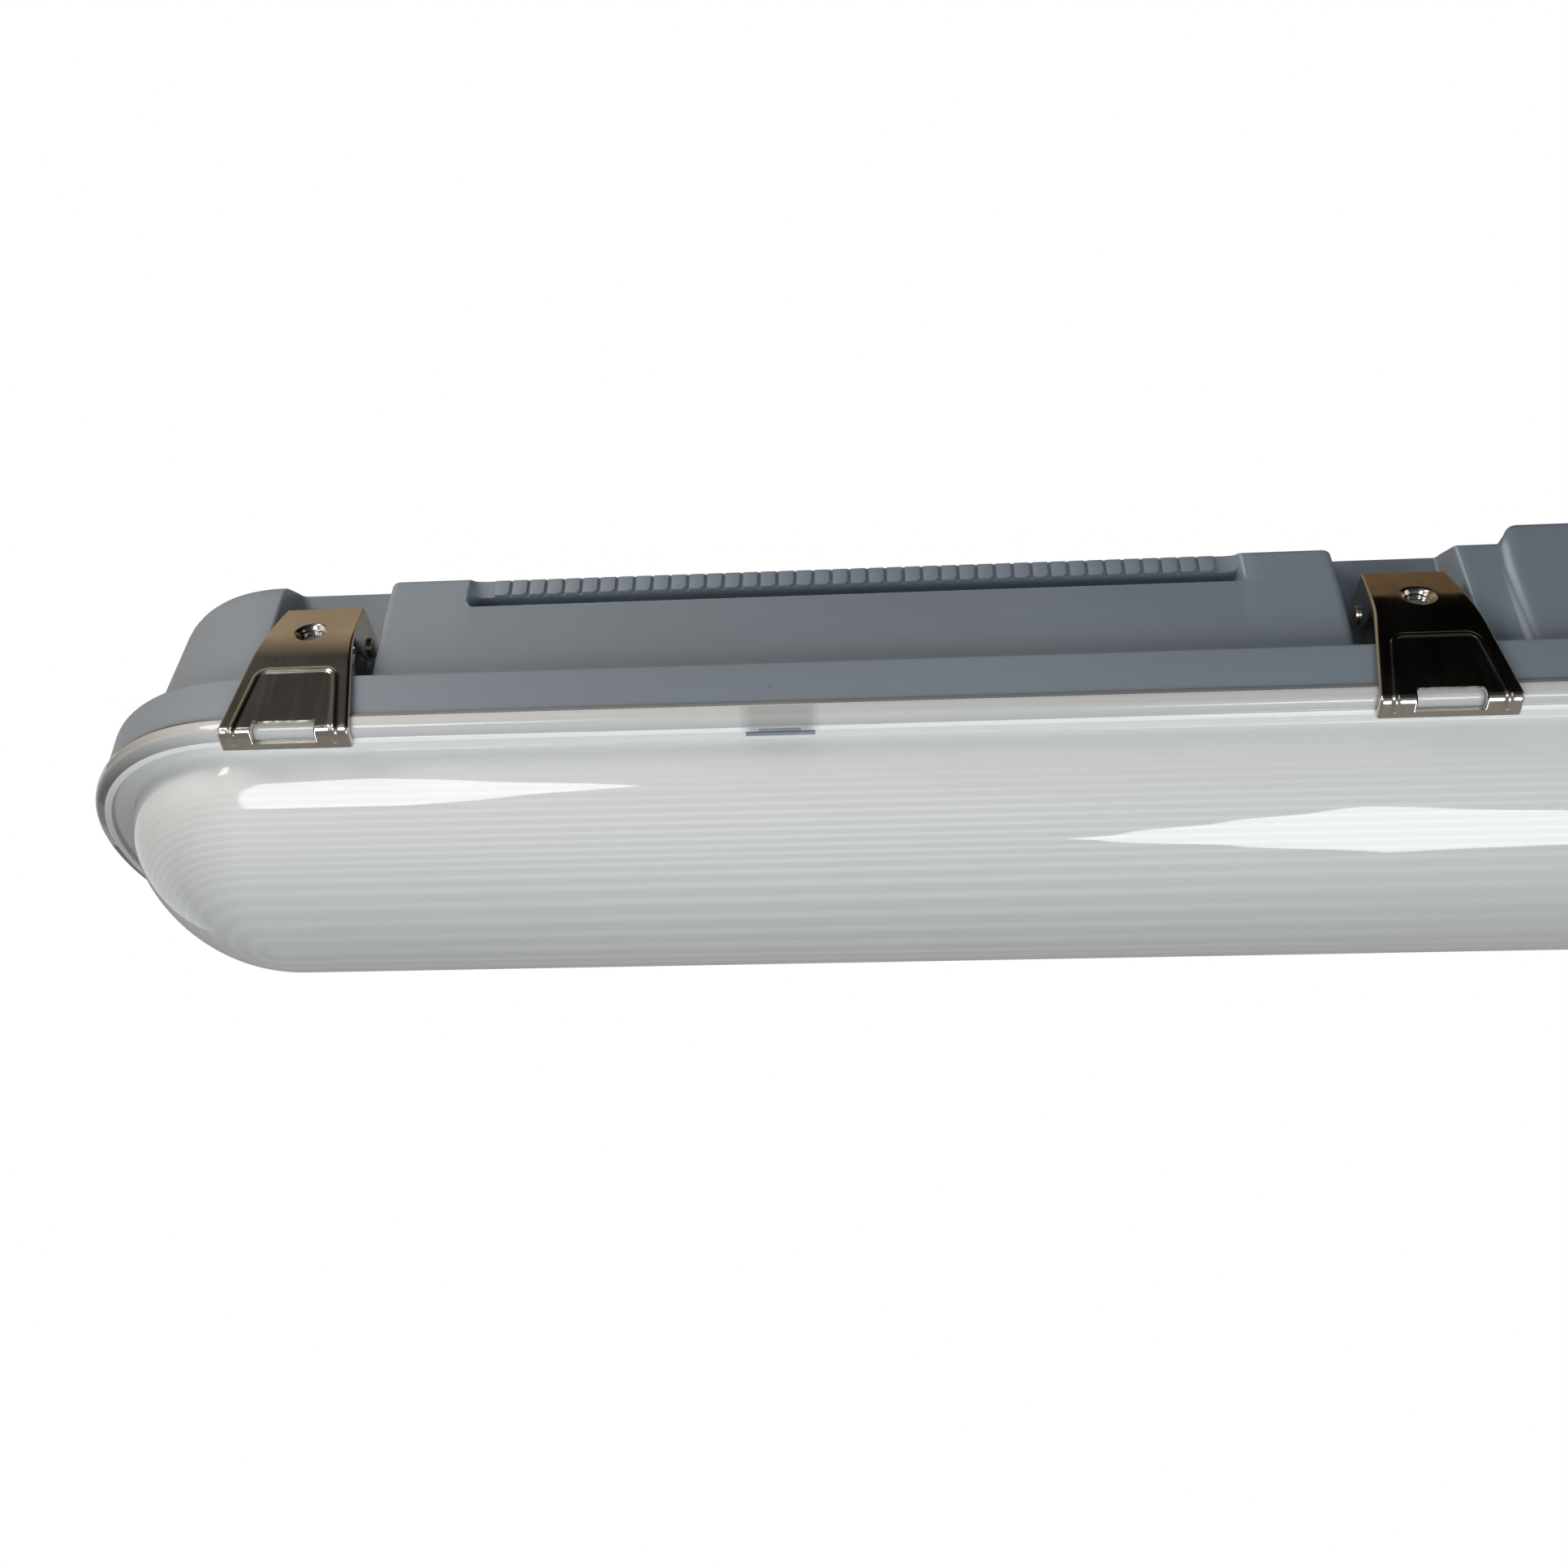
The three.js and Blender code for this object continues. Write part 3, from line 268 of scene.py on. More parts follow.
def dress(piece, body, slot, finish, *replaced):
    """Gives a finished piece its material and its body, and hides the nodes that it stands for; the slot is
    not used.
    """
    piece.data.materials.clear()
    piece.data.materials.append(material(finish))
    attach(piece, body)
    if replaced:
        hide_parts(*replaced)


def settings():
    """The sizes and colours that a user can change."""
    return bpy.context.scene.fixture_settings


def ease(value, low, high):
    """A smooth rise from 0 to 1 between two values."""
    t = np.clip((value - low) / (high - low), 0, 1)
    return t * t * (3 - 2 * t)


def path_lengths(places):
    """Distance along a path at each of its points."""
    return np.concatenate([[0], np.cumsum(np.hypot(*np.diff(places, axis=0).T))])


def ring_faces(rings, sides):
    """Faces between each ring of points and the next, and from the last ring back to the first."""
    faces = []
    for near, far in ((ring * sides, (ring + 1) % rings * sides) for ring in range(rings)):
        for k in range(sides):
            after = (k + 1) % sides
            faces.append((near + k, near + after, far + after, far + k))
    return faces


def revolved(profile, sides):
    """Points and faces of a ring turned round X from a closed (place, radius) outline."""
    points = [(x, radius * math.cos(2 * math.pi * k / sides), radius * math.sin(2 * math.pi * k / sides))
              for x, radius in profile for k in range(sides)]
    return points, ring_faces(len(profile), sides)


def turned_points(profile, sides):
    """Points and faces of a closed turned piece along X from (place, radius) pairs, ends on the axis."""
    rings, count = revolved(profile[1:-1], sides)[0], len(profile) - 2
    points = [(profile[0][0], 0.0, 0.0)] + rings + [(profile[-1][0], 0.0, 0.0)]
    last = len(points) - 1
    faces = []
    for k in range(sides):
        after = (k + 1) % sides
        faces += [(0, 1 + after, 1 + k), (last, last - sides + k, last - sides + after)]
        for a, b in ((1 + ring * sides, 1 + (ring + 1) * sides) for ring in range(count - 1)):
            faces.append((a + k, a + after, b + after, b + k))
    return points, faces


def moved(points, centre):
    """The points shifted by a vector."""
    return [(x + centre[0], y + centre[1], z + centre[2]) for x, y, z in points]


def bevelled_prism(name, near, far, bevel):
    """A small closed prism between two like outlines of points in metres, with bevelled edges."""
    count = len(near)
    faces = [tuple(range(count)), tuple(range(2 * count - 1, count - 1, -1))]
    faces += [(i, (i + 1) % count, count + (i + 1) % count, count + i) for i in range(count)]
    piece = new_object(name, near + far, faces)
    bevel_edges(piece, bevel)
    return baked(piece)


def eased_prism(name, outline, low, high, bevel):
    """A bevelled prism along X from an (out, up) outline in metres."""
    return bevelled_prism(name, *([(x, out, up) for out, up in outline] for x in (low, high)), bevel)


def paint_corners(mesh, values, name):
    """A UV map of the given values per point: one column for U, or two for U and V."""
    values = np.asarray(values).reshape(len(mesh.vertices), -1)
    corners = np.empty(len(mesh.loops), int)
    mesh.loops.foreach_get("vertex_index", corners)
    pairs = np.zeros((len(corners), 2))
    pairs[:, :values.shape[1]] = values[corners]
    mesh.uv_layers.new(name=name).data.foreach_set("uv", pairs.ravel())


# Nodes

COLOUR_MIX_INPUTS = (0, 6, 7)
COLOUR_MIX_RESULT = 2


def feed(tree, socket, value):
    """Links an output to a socket, or sets a plain value on it."""
    if isinstance(value, bpy.types.NodeSocket):
        tree.links.new(value, socket)
    else:
        socket.default_value = value


def add_node(tree, kind, *values, **named):
    """A node whose sockets are fed in their order, or by name."""
    made = tree.nodes.new(kind)
    for socket, value in zip(made.inputs, values):
        feed(tree, socket, value)
    for name, value in named.items():
        feed(tree, made.inputs[name.replace("_", " ")], value)
    return made


def calculated(tree, operation, first, second=0.0):
    """The result of a sum on two values."""
    made = add_node(tree, "ShaderNodeMath", first, second)
    made.operation = operation
    return made.outputs[0]


def mixed_colour(tree, factor, first, second):
    """The colour at a factor between two others."""
    made = tree.nodes.new("ShaderNodeMix")
    made.data_type = "RGBA"
    for place_in_node, value in zip(COLOUR_MIX_INPUTS, (factor, first, second)):
        feed(tree, made.inputs[place_in_node], value)
    return made.outputs[COLOUR_MIX_RESULT]


def repeat_tree(name, **inputs):
    """A new tree for repeated pieces with named inputs, and the sockets that bring them in."""
    tree = bpy.data.node_groups.new(name, "GeometryNodeTree")
    for label, kind in inputs.items():
        tree.interface.new_socket(label, in_out="INPUT", socket_type="NodeSocket" + kind)
    tree.interface.new_socket("Geometry", in_out="OUTPUT", socket_type="NodeSocketGeometry")
    return tree, tree.nodes.new("NodeGroupInput").outputs


def end_tree(tree, copies, finish):
    """Makes a tree's copies real, gives them their material and sends them out."""
    real = add_node(tree, "GeometryNodeRealizeInstances", copies).outputs[0]
    painted = add_node(tree, "GeometryNodeSetMaterial", Geometry=real, Material=finish)
    add_node(tree, "NodeGroupOutput", painted.outputs[0])
    return tree


def row_tree():
    """A node tree that sets copies of a piece in a straight row."""
    tree, given = repeat_tree("row_of_pieces", Piece="Object", Count="Int", Start="Vector", Step="Vector",
                              Finish="Material")
    line = add_node(tree, "GeometryNodeMeshLine", Count=given["Count"], Start_Location=given["Start"],
                    Offset=given["Step"])
    source = add_node(tree, "GeometryNodeObjectInfo", Object=given["Piece"])
    copies = add_node(tree, "GeometryNodeInstanceOnPoints", Points=line.outputs[0],
                      Instance=source.outputs["Geometry"])
    return end_tree(tree, copies.outputs[0], given["Finish"])


def ring_tree():
    """A node tree that sets copies of a piece round the X axis through a centre."""
    tree, given = repeat_tree("ring_of_pieces", Piece="Object", Count="Int", Radius="Float", Centre="Vector",
                              Finish="Material")
    line = add_node(tree, "GeometryNodeMeshLine", Count=given["Count"], Start_Location=given["Centre"],
                    Offset=(0, 0, 0))
    index = add_node(tree, "GeometryNodeInputIndex").outputs[0]
    share = calculated(tree, "DIVIDE", index, given["Count"])
    angle = add_node(tree, "ShaderNodeCombineXYZ", X=calculated(tree, "MULTIPLY", share, 2 * math.pi))
    lift = add_node(tree, "ShaderNodeCombineXYZ", Z=given["Radius"])
    source = add_node(tree, "GeometryNodeObjectInfo", Object=given["Piece"])
    copies = add_node(tree, "GeometryNodeInstanceOnPoints", Points=line.outputs[0],
                      Instance=source.outputs["Geometry"], Rotation=angle.outputs[0])
    outward = add_node(tree, "GeometryNodeTranslateInstances", Instances=copies.outputs[0],
                       Translation=lift.outputs[0], Local_Space=True)
    return end_tree(tree, outward.outputs[0], given["Finish"])


def repeated(name, tree, **inputs):
    """A plain mesh object from a node tree with its named inputs set."""
    piece = new_object(name, [(0, 0, 0)], [], recalculate=False)
    modifier = piece.modifiers.new("repeat", "NODES")
    modifier.node_group = tree
    sockets = {item.name: item.identifier for item in tree.interface.items_tree if item.in_out == "INPUT"}
    for key, value in inputs.items():
        modifier[sockets[key]] = value
    baked(piece)
    bpy.data.objects.remove(inputs["Piece"])
    piece.data.set_sharp_from_angle(angle=math.radians(SHARP))
    return piece


# Materials

# How much lighter the grey turns under a full painted highlight
EDGE_HIGHLIGHT_LIGHTEN = 2.1
# Dark grey mixed into the diffuser: painted shade, and the catches seen through the rim
SHADE_AND_CATCH_GREY = (0.12, 0.125, 0.125, 1.0)


class Finish:
    """A procedural material with one Principled shader and short calls for its nodes."""

    def __init__(self, name, **values):
        self.material = bpy.data.materials.new(name)
        self.material.use_nodes = True
        self.tree = self.material.node_tree
        self.shader = self.tree.nodes["Principled BSDF"]
        for socket, value in values.items():
            self.shader.inputs[socket.replace("_", " ")].default_value = value

    def place(self, stretch=(1, 1, 1)):
        """The piece's own coordinates, scaled along its axes."""
        source = add_node(self.tree, "ShaderNodeTexCoord").outputs["Object"]
        return add_node(self.tree, "ShaderNodeMapping", Vector=source, Scale=stretch).outputs["Vector"]

    def painted(self):
        """The two values of the piece's own UV map."""
        source = add_node(self.tree, "ShaderNodeUVMap").outputs[0]
        split = add_node(self.tree, "ShaderNodeSeparateXYZ", source)
        return split.outputs["X"], split.outputs["Y"]

    def noise(self, scale, detail=2.0, stretch=(1, 1, 1)):
        """Soft noise over the piece."""
        return add_node(self.tree, "ShaderNodeTexNoise", Vector=self.place(stretch), Scale=scale,
                        Detail=detail).outputs[0]

    def times(self, first, second):
        """The product of two values."""
        return calculated(self.tree, "MULTIPLY", first, second)

    def clamped(self, value):
        """A value held between 0 and 1."""
        return add_node(self.tree, "ShaderNodeClamp", value).outputs[0]

    def spread(self, *values):
        """A value run smoothly from a low and a high to two others, or to 0 and 1."""
        made = add_node(self.tree, "ShaderNodeMapRange", *values)
        made.interpolation_type = "SMOOTHSTEP"
        return made.outputs[0]

    def mix(self, factor, first, second):
        """The colour at a factor between two others."""
        return mixed_colour(self.tree, factor, first, second)

    def colour(self, value):
        """Links the base colour."""
        self.tree.links.new(value, self.shader.inputs["Base Color"])

    def rough(self, value):
        """Links the roughness."""
        self.tree.links.new(value, self.shader.inputs["Roughness"])

    def bump(self, *layers):
        """Layers of (height, distance in metres, strength), each on the one before."""
        normal = None
        for height, distance, strength in layers:
            made = add_node(self.tree, "ShaderNodeBump", Height=height, Distance=distance, Strength=strength)
            if normal:
                self.tree.links.new(normal, made.inputs["Normal"])
            normal = made.outputs[0]
        self.tree.links.new(normal, self.shader.inputs["Normal"])


def shade(colour, factor):
    """A colour made lighter or darker, with its alpha."""
    return (colour[0] * factor, colour[1] * factor, colour[2] * factor, 1.0)


def moulded_grey():
    """Satin grey housing plastic with a fine spark texture, faint flow marks and rare moulding specks,
    lightened by painted highlights from its UV map.
    """
    base = settings().housing_colour
    made = Finish("moulded_grey", Roughness=0.5, Specular_IOR_Level=0.4)
    flow = made.noise(9.0, 3.0, (1.0, 2.5, 2.5))
    cells = add_node(made.tree, "ShaderNodeTexVoronoi", Vector=made.place(), Scale=85.0)
    specks = made.spread(cells.outputs["Distance"], 0.035, 0.075, 1.0, 0.0)
    specks = made.times(specks, made.spread(made.noise(24.0, 1.0), 0.56, 0.64))
    tinted = made.mix(made.spread(flow, 0.3, 0.7), shade(base, 0.95), shade(base, 1.05))
    marked = made.mix(made.times(specks, 0.35), tinted, shade(base, 0.45))
    # Painted highlights: the UV map's first value lightens the grey along wall edges and the groove's lower
    # lip
    made.colour(made.mix(made.painted()[0], marked, shade(base, EDGE_HIGHLIGHT_LIGHTEN)))
    made.rough(made.spread(made.noise(140.0, 3.0), 0.25, 0.75, 0.44, 0.56))
    made.bump((made.noise(2600.0, 2.0), 0.00003, 0.25), (specks, -0.0001, 0.6))
    return made.material


def milky_ribbed():
    """Milky glossy plastic whose inner ribs show through as soft lines along the piece's own UV map, with
    painted shade, painted highlights and the catches seen through it from the map's first value.
    """
    base = settings().diffuser_colour
    made = Finish("milky_ribbed", Roughness=0.1, IOR=1.46)
    tone, across = made.painted()
    wave = calculated(made.tree, "COSINE", made.times(across, 2 * math.pi))
    strength = made.spread(across, 1.5, 9.0, 0.15, 1.0)
    uneven = made.spread(made.noise(14.0, 2.0, (0.3, 1, 1)), 0.3, 0.7, 0.55, 1.0)
    lines = made.times(made.times(made.spread(wave, -0.4, 1.0), strength), uneven)
    cloudy = made.mix(made.spread(made.noise(4.0), 0.3, 0.7), shade(base, 0.97), shade(base, 1.0))
    lit = made.mix(lines, cloudy, shade(base, 1.1))
    # Tones above 0 mix in dark grey for painted shade and the catches seen through the rim; tones below 0 mix
    # in white for painted highlights
    shaded_and_catches = made.mix(made.clamped(tone), lit, SHADE_AND_CATCH_GREY)
    made.colour(made.mix(made.clamped(made.times(tone, -1.0)), shaded_and_catches, (1, 1, 1, 1)))
    made.rough(made.spread(made.noise(60.0, 3.0), 0.3, 0.7, 0.02, 0.045))
    made.bump((wave, 0.000012, 0.1))
    return made.material


def rolled_stainless():
    """Bright rolled stainless sheet with faint draw lines and handling haze."""
    base = settings().steel_colour
    made = Finish("rolled_stainless", Metallic=1.0, Roughness=0.14)
    haze = made.noise(60.0, 4.0)
    lines = made.noise(900.0, 2.0, (1.0, 0.06, 0.06))
    made.colour(made.mix(made.spread(haze, 0.3, 0.75), shade(base, 1.0), shade(base, 0.86)))
    worn = calculated(made.tree, "ADD", haze, made.times(lines, 0.4))
    made.rough(made.spread(worn, 0.4, 1.0, 0.1, 0.24))
    made.bump((lines, 0.000004, 0.2))
    return made.material


def plain_finish(name, colour, roughness, metallic=0.0, grain=600.0, depth=0.00002):
    """A finish with colour, roughness and bump that vary with a fine grain."""
    made = Finish(name, Metallic=metallic, Roughness=roughness)
    grains = made.noise(grain, 3.0)
    cloudy = made.spread(made.noise(30.0), 0.3, 0.7)
    made.colour(made.mix(cloudy, shade(colour, 0.94), shade(colour, 1.04)))
    made.rough(made.spread(grains, 0.25, 0.75, roughness * 0.85, min(1.0, roughness * 1.15)))
    made.bump((grains, depth, 0.25))
    return made.material


PLAIN_FINISHES = {
    "foamed_gasket": dict(colour=(0.62, 0.62, 0.58), roughness=0.9, grain=1400.0, depth=0.0002),
    "white_powder": dict(colour=(0.83, 0.83, 0.8), roughness=0.42, grain=1500.0, depth=0.00004),
    "white_board": dict(colour=(0.86, 0.86, 0.83), roughness=0.38, grain=900.0),
    "zinc_plate": dict(colour=(0.6, 0.62, 0.64), roughness=0.34, metallic=1.0, grain=220.0, depth=0.00001),
    "terminal_nylon": dict(colour=(0.72, 0.7, 0.64), roughness=0.5),
    "gland_nylon": dict(colour=(0.2, 0.215, 0.23), roughness=0.46, grain=1800.0),
    "seal_rubber": dict(colour=(0.012, 0.012, 0.012), roughness=0.8, depth=0.00005),
    "lead_sheath": dict(colour=(0.7, 0.69, 0.64), roughness=0.5),
}


def material(name):
    """The named material, made when it is first asked for."""
    made = bpy.data.materials.get(name)
    if made:
        return made
    if name in PLAIN_FINISHES:
        return plain_finish(name, **PLAIN_FINISHES[name])
    makers = (moulded_grey, milky_ribbed, rolled_stainless)
    return next(maker for maker in makers if maker.__name__ == name)()


# Housing


def inner_section(roof_z, kind):
    """The housing's hidden inside, from its roof down to the gasket channel and the band's underside."""
    channel_in, channel_out, channel_top = CHANNEL
    roof_out, shoulder, floor_out = INSIDE[kind]
    bottom, floor, ceiling = RIM_HEIGHT + SEAT_GAP, BAND_TOP - WALL, roof_z - WALL
    room = [(ROOF_MIDDLE_OUT, ceiling), (roof_out, ceiling), shoulder, (floor_out, floor)]
    cavity = [(CAVITY_OUT, floor), (CAVITY_OUT, bottom), (channel_in, bottom), (channel_in, channel_top)]
    return np.array(room + cavity + [(channel_out, channel_top), (channel_out, bottom)])


def outer_section(kind, crown=False):
    """The housing's outside, from the band's lower edge to the roof, for one kind of stretch."""
    rise, swell = (CROWN_RISE, CROWN_SWELL) if crown else (0.0, 0.0)
    foot = TRUNK_FOOT_OUT + swell
    edge_out, edge_z = BLOCK_EDGE[0] + swell, BLOCK_EDGE[1] + rise
    roof_out, roof_z = ROOF_EDGE[0], ROOF_EDGE[1] + rise
    back, low, high = RACK_GROOVE

    def face(z):
        """How far out the block's face stands at a height."""
        return foot + (edge_out - foot) * (z - BAND_TOP) / (edge_z - BAND_TOP)

    groove = [(face(z), z, 0.05, 2) for z in (low, low + 0.2, low + 4, low + 7)]
    edge = (edge_out, edge_z, 1.6, 5)
    roof = (roof_out, roof_z, 3.0, 4)
    if kind == "groove":
        deep, ceiling = RACK_SLOT
        groove = [(face(low), low, 0.4, 2), (deep, low, 0.9, 2), (deep, ceiling, 0.6, 2),
                  (back, ceiling, 0.1, 2)]
        edge = (back, high, 0.4, 5)
    elif kind == "pocket":
        foot = roof_out + 0.5
        groove = [(roof_out + 0.4, z, 0.3, 2) for z in (24.0, 30.0, 36.0, 42.0)]
        edge = (roof_out + 0.1, 48.0, 0.5, 5)
        roof = (roof_out, roof_z, 1.2, 4)
    elif kind == "end":
        groove = [(foot - END_SLOPE * (z - BAND_TOP), z, 0.3, 2) for z in (26.0, 32.0, 37.0, 42.0)]
        edge = END_EDGE + (3.5, 5)
    band = [(BAND_OUT, RIM_HEIGHT + SEAT_GAP, 0.0, 0), (BAND_OUT, BAND_TOP, 0.9, 4), (foot, BAND_TOP, 0.9, 4)]
    return rounded(band + groove + [edge, roof, (ROOF_MIDDLE_OUT, roof_z, 0.0, 0)])


def step_between(x, deep, proud, rising, foot_radius, edge_radius, steps=5):
    """Stations over a wall across the fixture, with a fillet at its foot and a rounded edge."""
    gap = proud - deep
    length = np.linalg.norm(gap, axis=1)[:, None]
    unit = np.divide(gap, length, out=np.zeros_like(gap), where=length > 1e-6)
    foot, edge = np.minimum(foot_radius, length / 2), np.minimum(edge_radius, length / 2)
    stations = []
    for t in np.linspace(0, 1, steps + 1):
        stations.append((x - foot_radius * (1 - t), deep + unit * foot * (1 - math.sqrt(1 - t * t))))
    for t in np.linspace(0, 1, steps + 1):
        stations.append((x + 0.15 + edge_radius * t, proud - unit * edge * (1 - math.sqrt(1 - (1 - t) ** 2))))
    if not rising:
        stations = [(2 * x - place_x, section) for place_x, section in reversed(stations)]
    return stations


def crown_step(x, low, high):
    """Stations over the rise to the taller middle: steep at its drafted foot, easing over at the top."""
    reach = np.interp(low[:, 1], CROWN_DRAFT_Z, CROWN_REACH)
    draft = np.interp(low[:, 1], CROWN_DRAFT_Z, CROWN_DRAFT)
    stations = [(x + 0.6, low)]
    for step in np.concatenate([np.linspace(0, 5.4, 19), np.linspace(5.9, 17.2, 18)]):
        share = np.sqrt(1 - (1 - np.clip((step - draft) / reach, 0, 1)) ** 2)[:, None]
        stations.append((x - step, low + (high - low) * share))
    return stations


def rack_span():
    """Where the bracket groove starts and ends, from the fixture's middle outwards."""
    return (station_x(4) + POCKET_HALF_LENGTH + RACK_INNER_MARGIN,
            station_x(5) - POCKET_HALF_LENGTH - RACK_OUTER_MARGIN)


def rack_end(x, groove, block, rising):
    """Stations over an end wall of the bracket groove, whose lower corner is rounded."""
    stations, radius, low = [], RACK_CORNER_RADIUS, RACK_GROOVE[1]
    for place_x, section in step_between(x, groove, block, rising, *RACK_RADII, steps=7):
        apart = max(0.0, abs(place_x - x) if (place_x < x) == rising else 0.0)
        raised = section.copy()
        if apart < radius:
            ledge = (section[:, 1] > low - 0.3) & (section[:, 1] < low + 1.4)
            ledge &= section[:, 0] < block[:, 0] - 0.02
            raised[ledge, 1] += radius - math.sqrt(radius ** 2 - (radius - apart) ** 2)
        stations.append((place_x, raised))
    return stations


def housing_stations():
    """Places and sections along the straight part of the housing, from one end to the other."""
    end, block, groove = (outer_section(kind) for kind in ("end", "block", "groove"))
    pocket, crown_pocket = (outer_section("pocket", crown) for crown in (False, True))
    crown = outer_section("block", True)
    inner, outer = station_x(4), station_x(5)
    rack_start, rack_stop = rack_span()
    half = [(0.0, crown_pocket), (END_CENTRE_X, end)]
    half += step_between(POCKET_HALF_LENGTH, crown_pocket, crown, True, *CROWN_POCKET_RADII)
    half += crown_step(CROWN_END_X, block, crown)
    half += step_between(inner - POCKET_HALF_LENGTH, pocket, block, False, *INNER_POCKET_RADII)
    half += step_between(inner + POCKET_HALF_LENGTH, pocket, block, True, *BLOCK_POCKET_RADII)
    half += rack_end(rack_start, groove, block, False)
    half += rack_end(rack_stop, groove, block, True)
    half += step_between(outer - POCKET_HALF_LENGTH, pocket, block, False, *BLOCK_POCKET_RADII)
    half += step_between(POCKET_END_X, pocket, end, True, *END_POCKET_RADII)
    half.sort(key=lambda item: item[0])
    reach = POCKET_HALF_LENGTH + WALL
    stretches = [(centre - reach, centre + reach, "pocket") for centre in (0.0, inner, outer)]
    stretches.append((rack_start - 2 * WALL, rack_stop + 2 * WALL, "groove"))
    places, sections = [x for x, _ in half], np.array([section for _, section in half])
    for start, stop, _ in stretches:
        for edge in (start - 0.1, start + 0.1, stop - 0.1, stop + 0.1):
            if 0 < edge < POCKET_END_X:
                index = int(np.searchsorted(places, edge))
                share = (edge - places[index - 1]) / (places[index] - places[index - 1])
                between = sections[index - 1] * (1 - share) + sections[index] * share
                places.insert(index, edge)
                sections = np.insert(sections, index, between, axis=0)
    lined = []
    for x, section in zip(places, sections):
        kind = next((kind for start, stop, kind in stretches if start < x < stop), "block")
        lined.append((x, np.vstack([inner_section(min(section[-1, 1], ROOF_EDGE[1]), kind), section])))
    return [(-x, section) for x, section in reversed(lined[1:])] + lined


def make_housing():
    """The moulded housing with its latch ears, tray pillars and gland boss."""
    stations = housing_stations()
    loop = plan_loop([x for x, _ in stations])
    points, faces = loft(loop, loop_sections([section for _, section in stations], stations[0][1]))
    levels = len(points) // len(loop)
    points[:, 0] -= np.repeat(loop[:, 1], levels) * np.interp(points[:, 2], *END_PULL)
    piece = new_object("housing_shell", place(points), faces, SHELL_SHARP)
    # The UV map carries the painted highlights on the housing's wall edges
    paint_corners(piece.data, painted_edge_highlight(points), "edges")
    dress(piece, "housing", "housing_grey", "moulded_grey", "housing")
    make_latch_ears()
    make_tray_pillars()
    make_gland_boss()


def painted_edge_highlight(points):
    """How much painted highlight each point gets: most on the edges of the walls that face the fixture's
    ends, and along the groove's lower lip.
    """
    x, out, up = np.abs(points[:, 0]), np.abs(points[:, 1]), points[:, 2]
    rack_start, rack_stop = rack_span()
    inner, outer = (station_x(number) - POCKET_HALF_LENGTH for number in (4, 5))
    crown_edge = CROWN_END_X - 0.1 - np.interp(up, CROWN_DRAFT_Z, CROWN_DRAFT)
    edges = [(crown_edge, CROWN_EDGE_HIGHLIGHT[0], CROWN_EDGE_HIGHLIGHT[1] * (1 - ease(up, 49.0, 53.0))),
             (rack_start - 0.5, RACK_EDGE_HIGHLIGHT[0], RACK_EDGE_HIGHLIGHT[1] * (up > RACK_GROOVE[1] + 0.12))]
    edges += [(inner + shift, width, strength) for shift, width, strength in POCKET_EDGE_HIGHLIGHTS]
    edges.append((outer + OUTER_POCKET_EDGE_HIGHLIGHT[0],) + OUTER_POCKET_EDGE_HIGHLIGHT[1:])
    light = sum(strength * np.exp(-((x - edge) / width) ** 2) for edge, width, strength in edges)
    light *= (up > BAND_TOP + 0.8) & (out > ROOF_EDGE[0] - 0.5)
    ledge = (np.abs(up - RACK_GROOVE[1]) < LEDGE_HIGHLIGHT[0]) * (out > 40.5)
    return np.clip(light + LEDGE_HIGHLIGHT[1] * ledge * (x > rack_start + 3) * (x < rack_stop - 3), 0, 1)


def make_latch_ears():
    """Two pierced ears in each pocket that carry the latch's hinge."""
    back, radius, bore = HINGE_OUT - ROOF_EDGE[0] + EAR_LAP, EAR_RADIUS, EAR_BORE
    outline = []
    for turn in np.linspace(0, 2 * math.pi, 48, endpoint=False) + math.atan2(radius, back):
        c, s = math.cos(turn), math.sin(turn)
        reach = min(back / max(c, NEARLY), radius / max(abs(s), NEARLY)) if c > 0 else radius
        outline.append(((-c * reach, s * reach), (-c * bore, s * bore)))
    count = len(outline)
    for row, side in ROWS.items():
        points, faces = [], []
        for number in range(1, 6):
            middle = station_x(number)
            for start in (-EAR_OUTER, EAR_OUTER - EAR_THICKNESS):
                base = len(points)
                for x in (start, start + EAR_THICKNESS):
                    for ring in (0, 1):
                        points += [((middle + x) * MM, side * (HINGE_OUT + pair[ring][0]) * MM,
                                    (HINGE_Z + pair[ring][1] + RIM_Z) * MM) for pair in outline]
                near, near_bore, far, far_bore = (base + k * count for k in range(4))
                for k in range(count):
                    n = (k + 1) % count
                    faces += [(near + k, near + n, far + n, far + k),
                              (near_bore + n, near_bore + k, far_bore + k, far_bore + n),
                              (near + n, near + k, near_bore + k, near_bore + n),
                              (far + k, far + n, far_bore + n, far_bore + k)]
        piece = new_object(f"latch_ears_{row}", points, faces)
        bevel_edges(piece, EAR_BEVEL)
        dress(baked(piece), "housing", "housing_grey", "moulded_grey")


def make_tray_pillars():
    """Four hollow pillars that the gear tray's screws go into."""
    low, high = TRAY_TOP_Z + SEAT_GAP, ROOF_EDGE[1] - WALL + 0.3
    bore, bore_end, core = PILLAR_BORE, TRAY_TOP_Z + PILLAR_BORE_DEPTH, 0.05
    profile = [(low, bore), (low, PILLAR_RADIUS - 0.3), (low + 0.3, PILLAR_RADIUS),
               (high, PILLAR_RADIUS + 0.5), (high, core), (bore_end, core), (bore_end - 0.7, bore)]
    points, faces = revolved(profile, 32)
    for end_name, end in ENDS.items():
        for row, side in ROWS.items():
            stood = [(end * PILLAR_X + across, side * PILLAR_OUT + depth, up) for up, across, depth in points]
            piece = new_object(f"tray_pillar_{row}_{end_name}", place(stood), faces)
            dress(piece, "housing", "housing_grey", "moulded_grey")


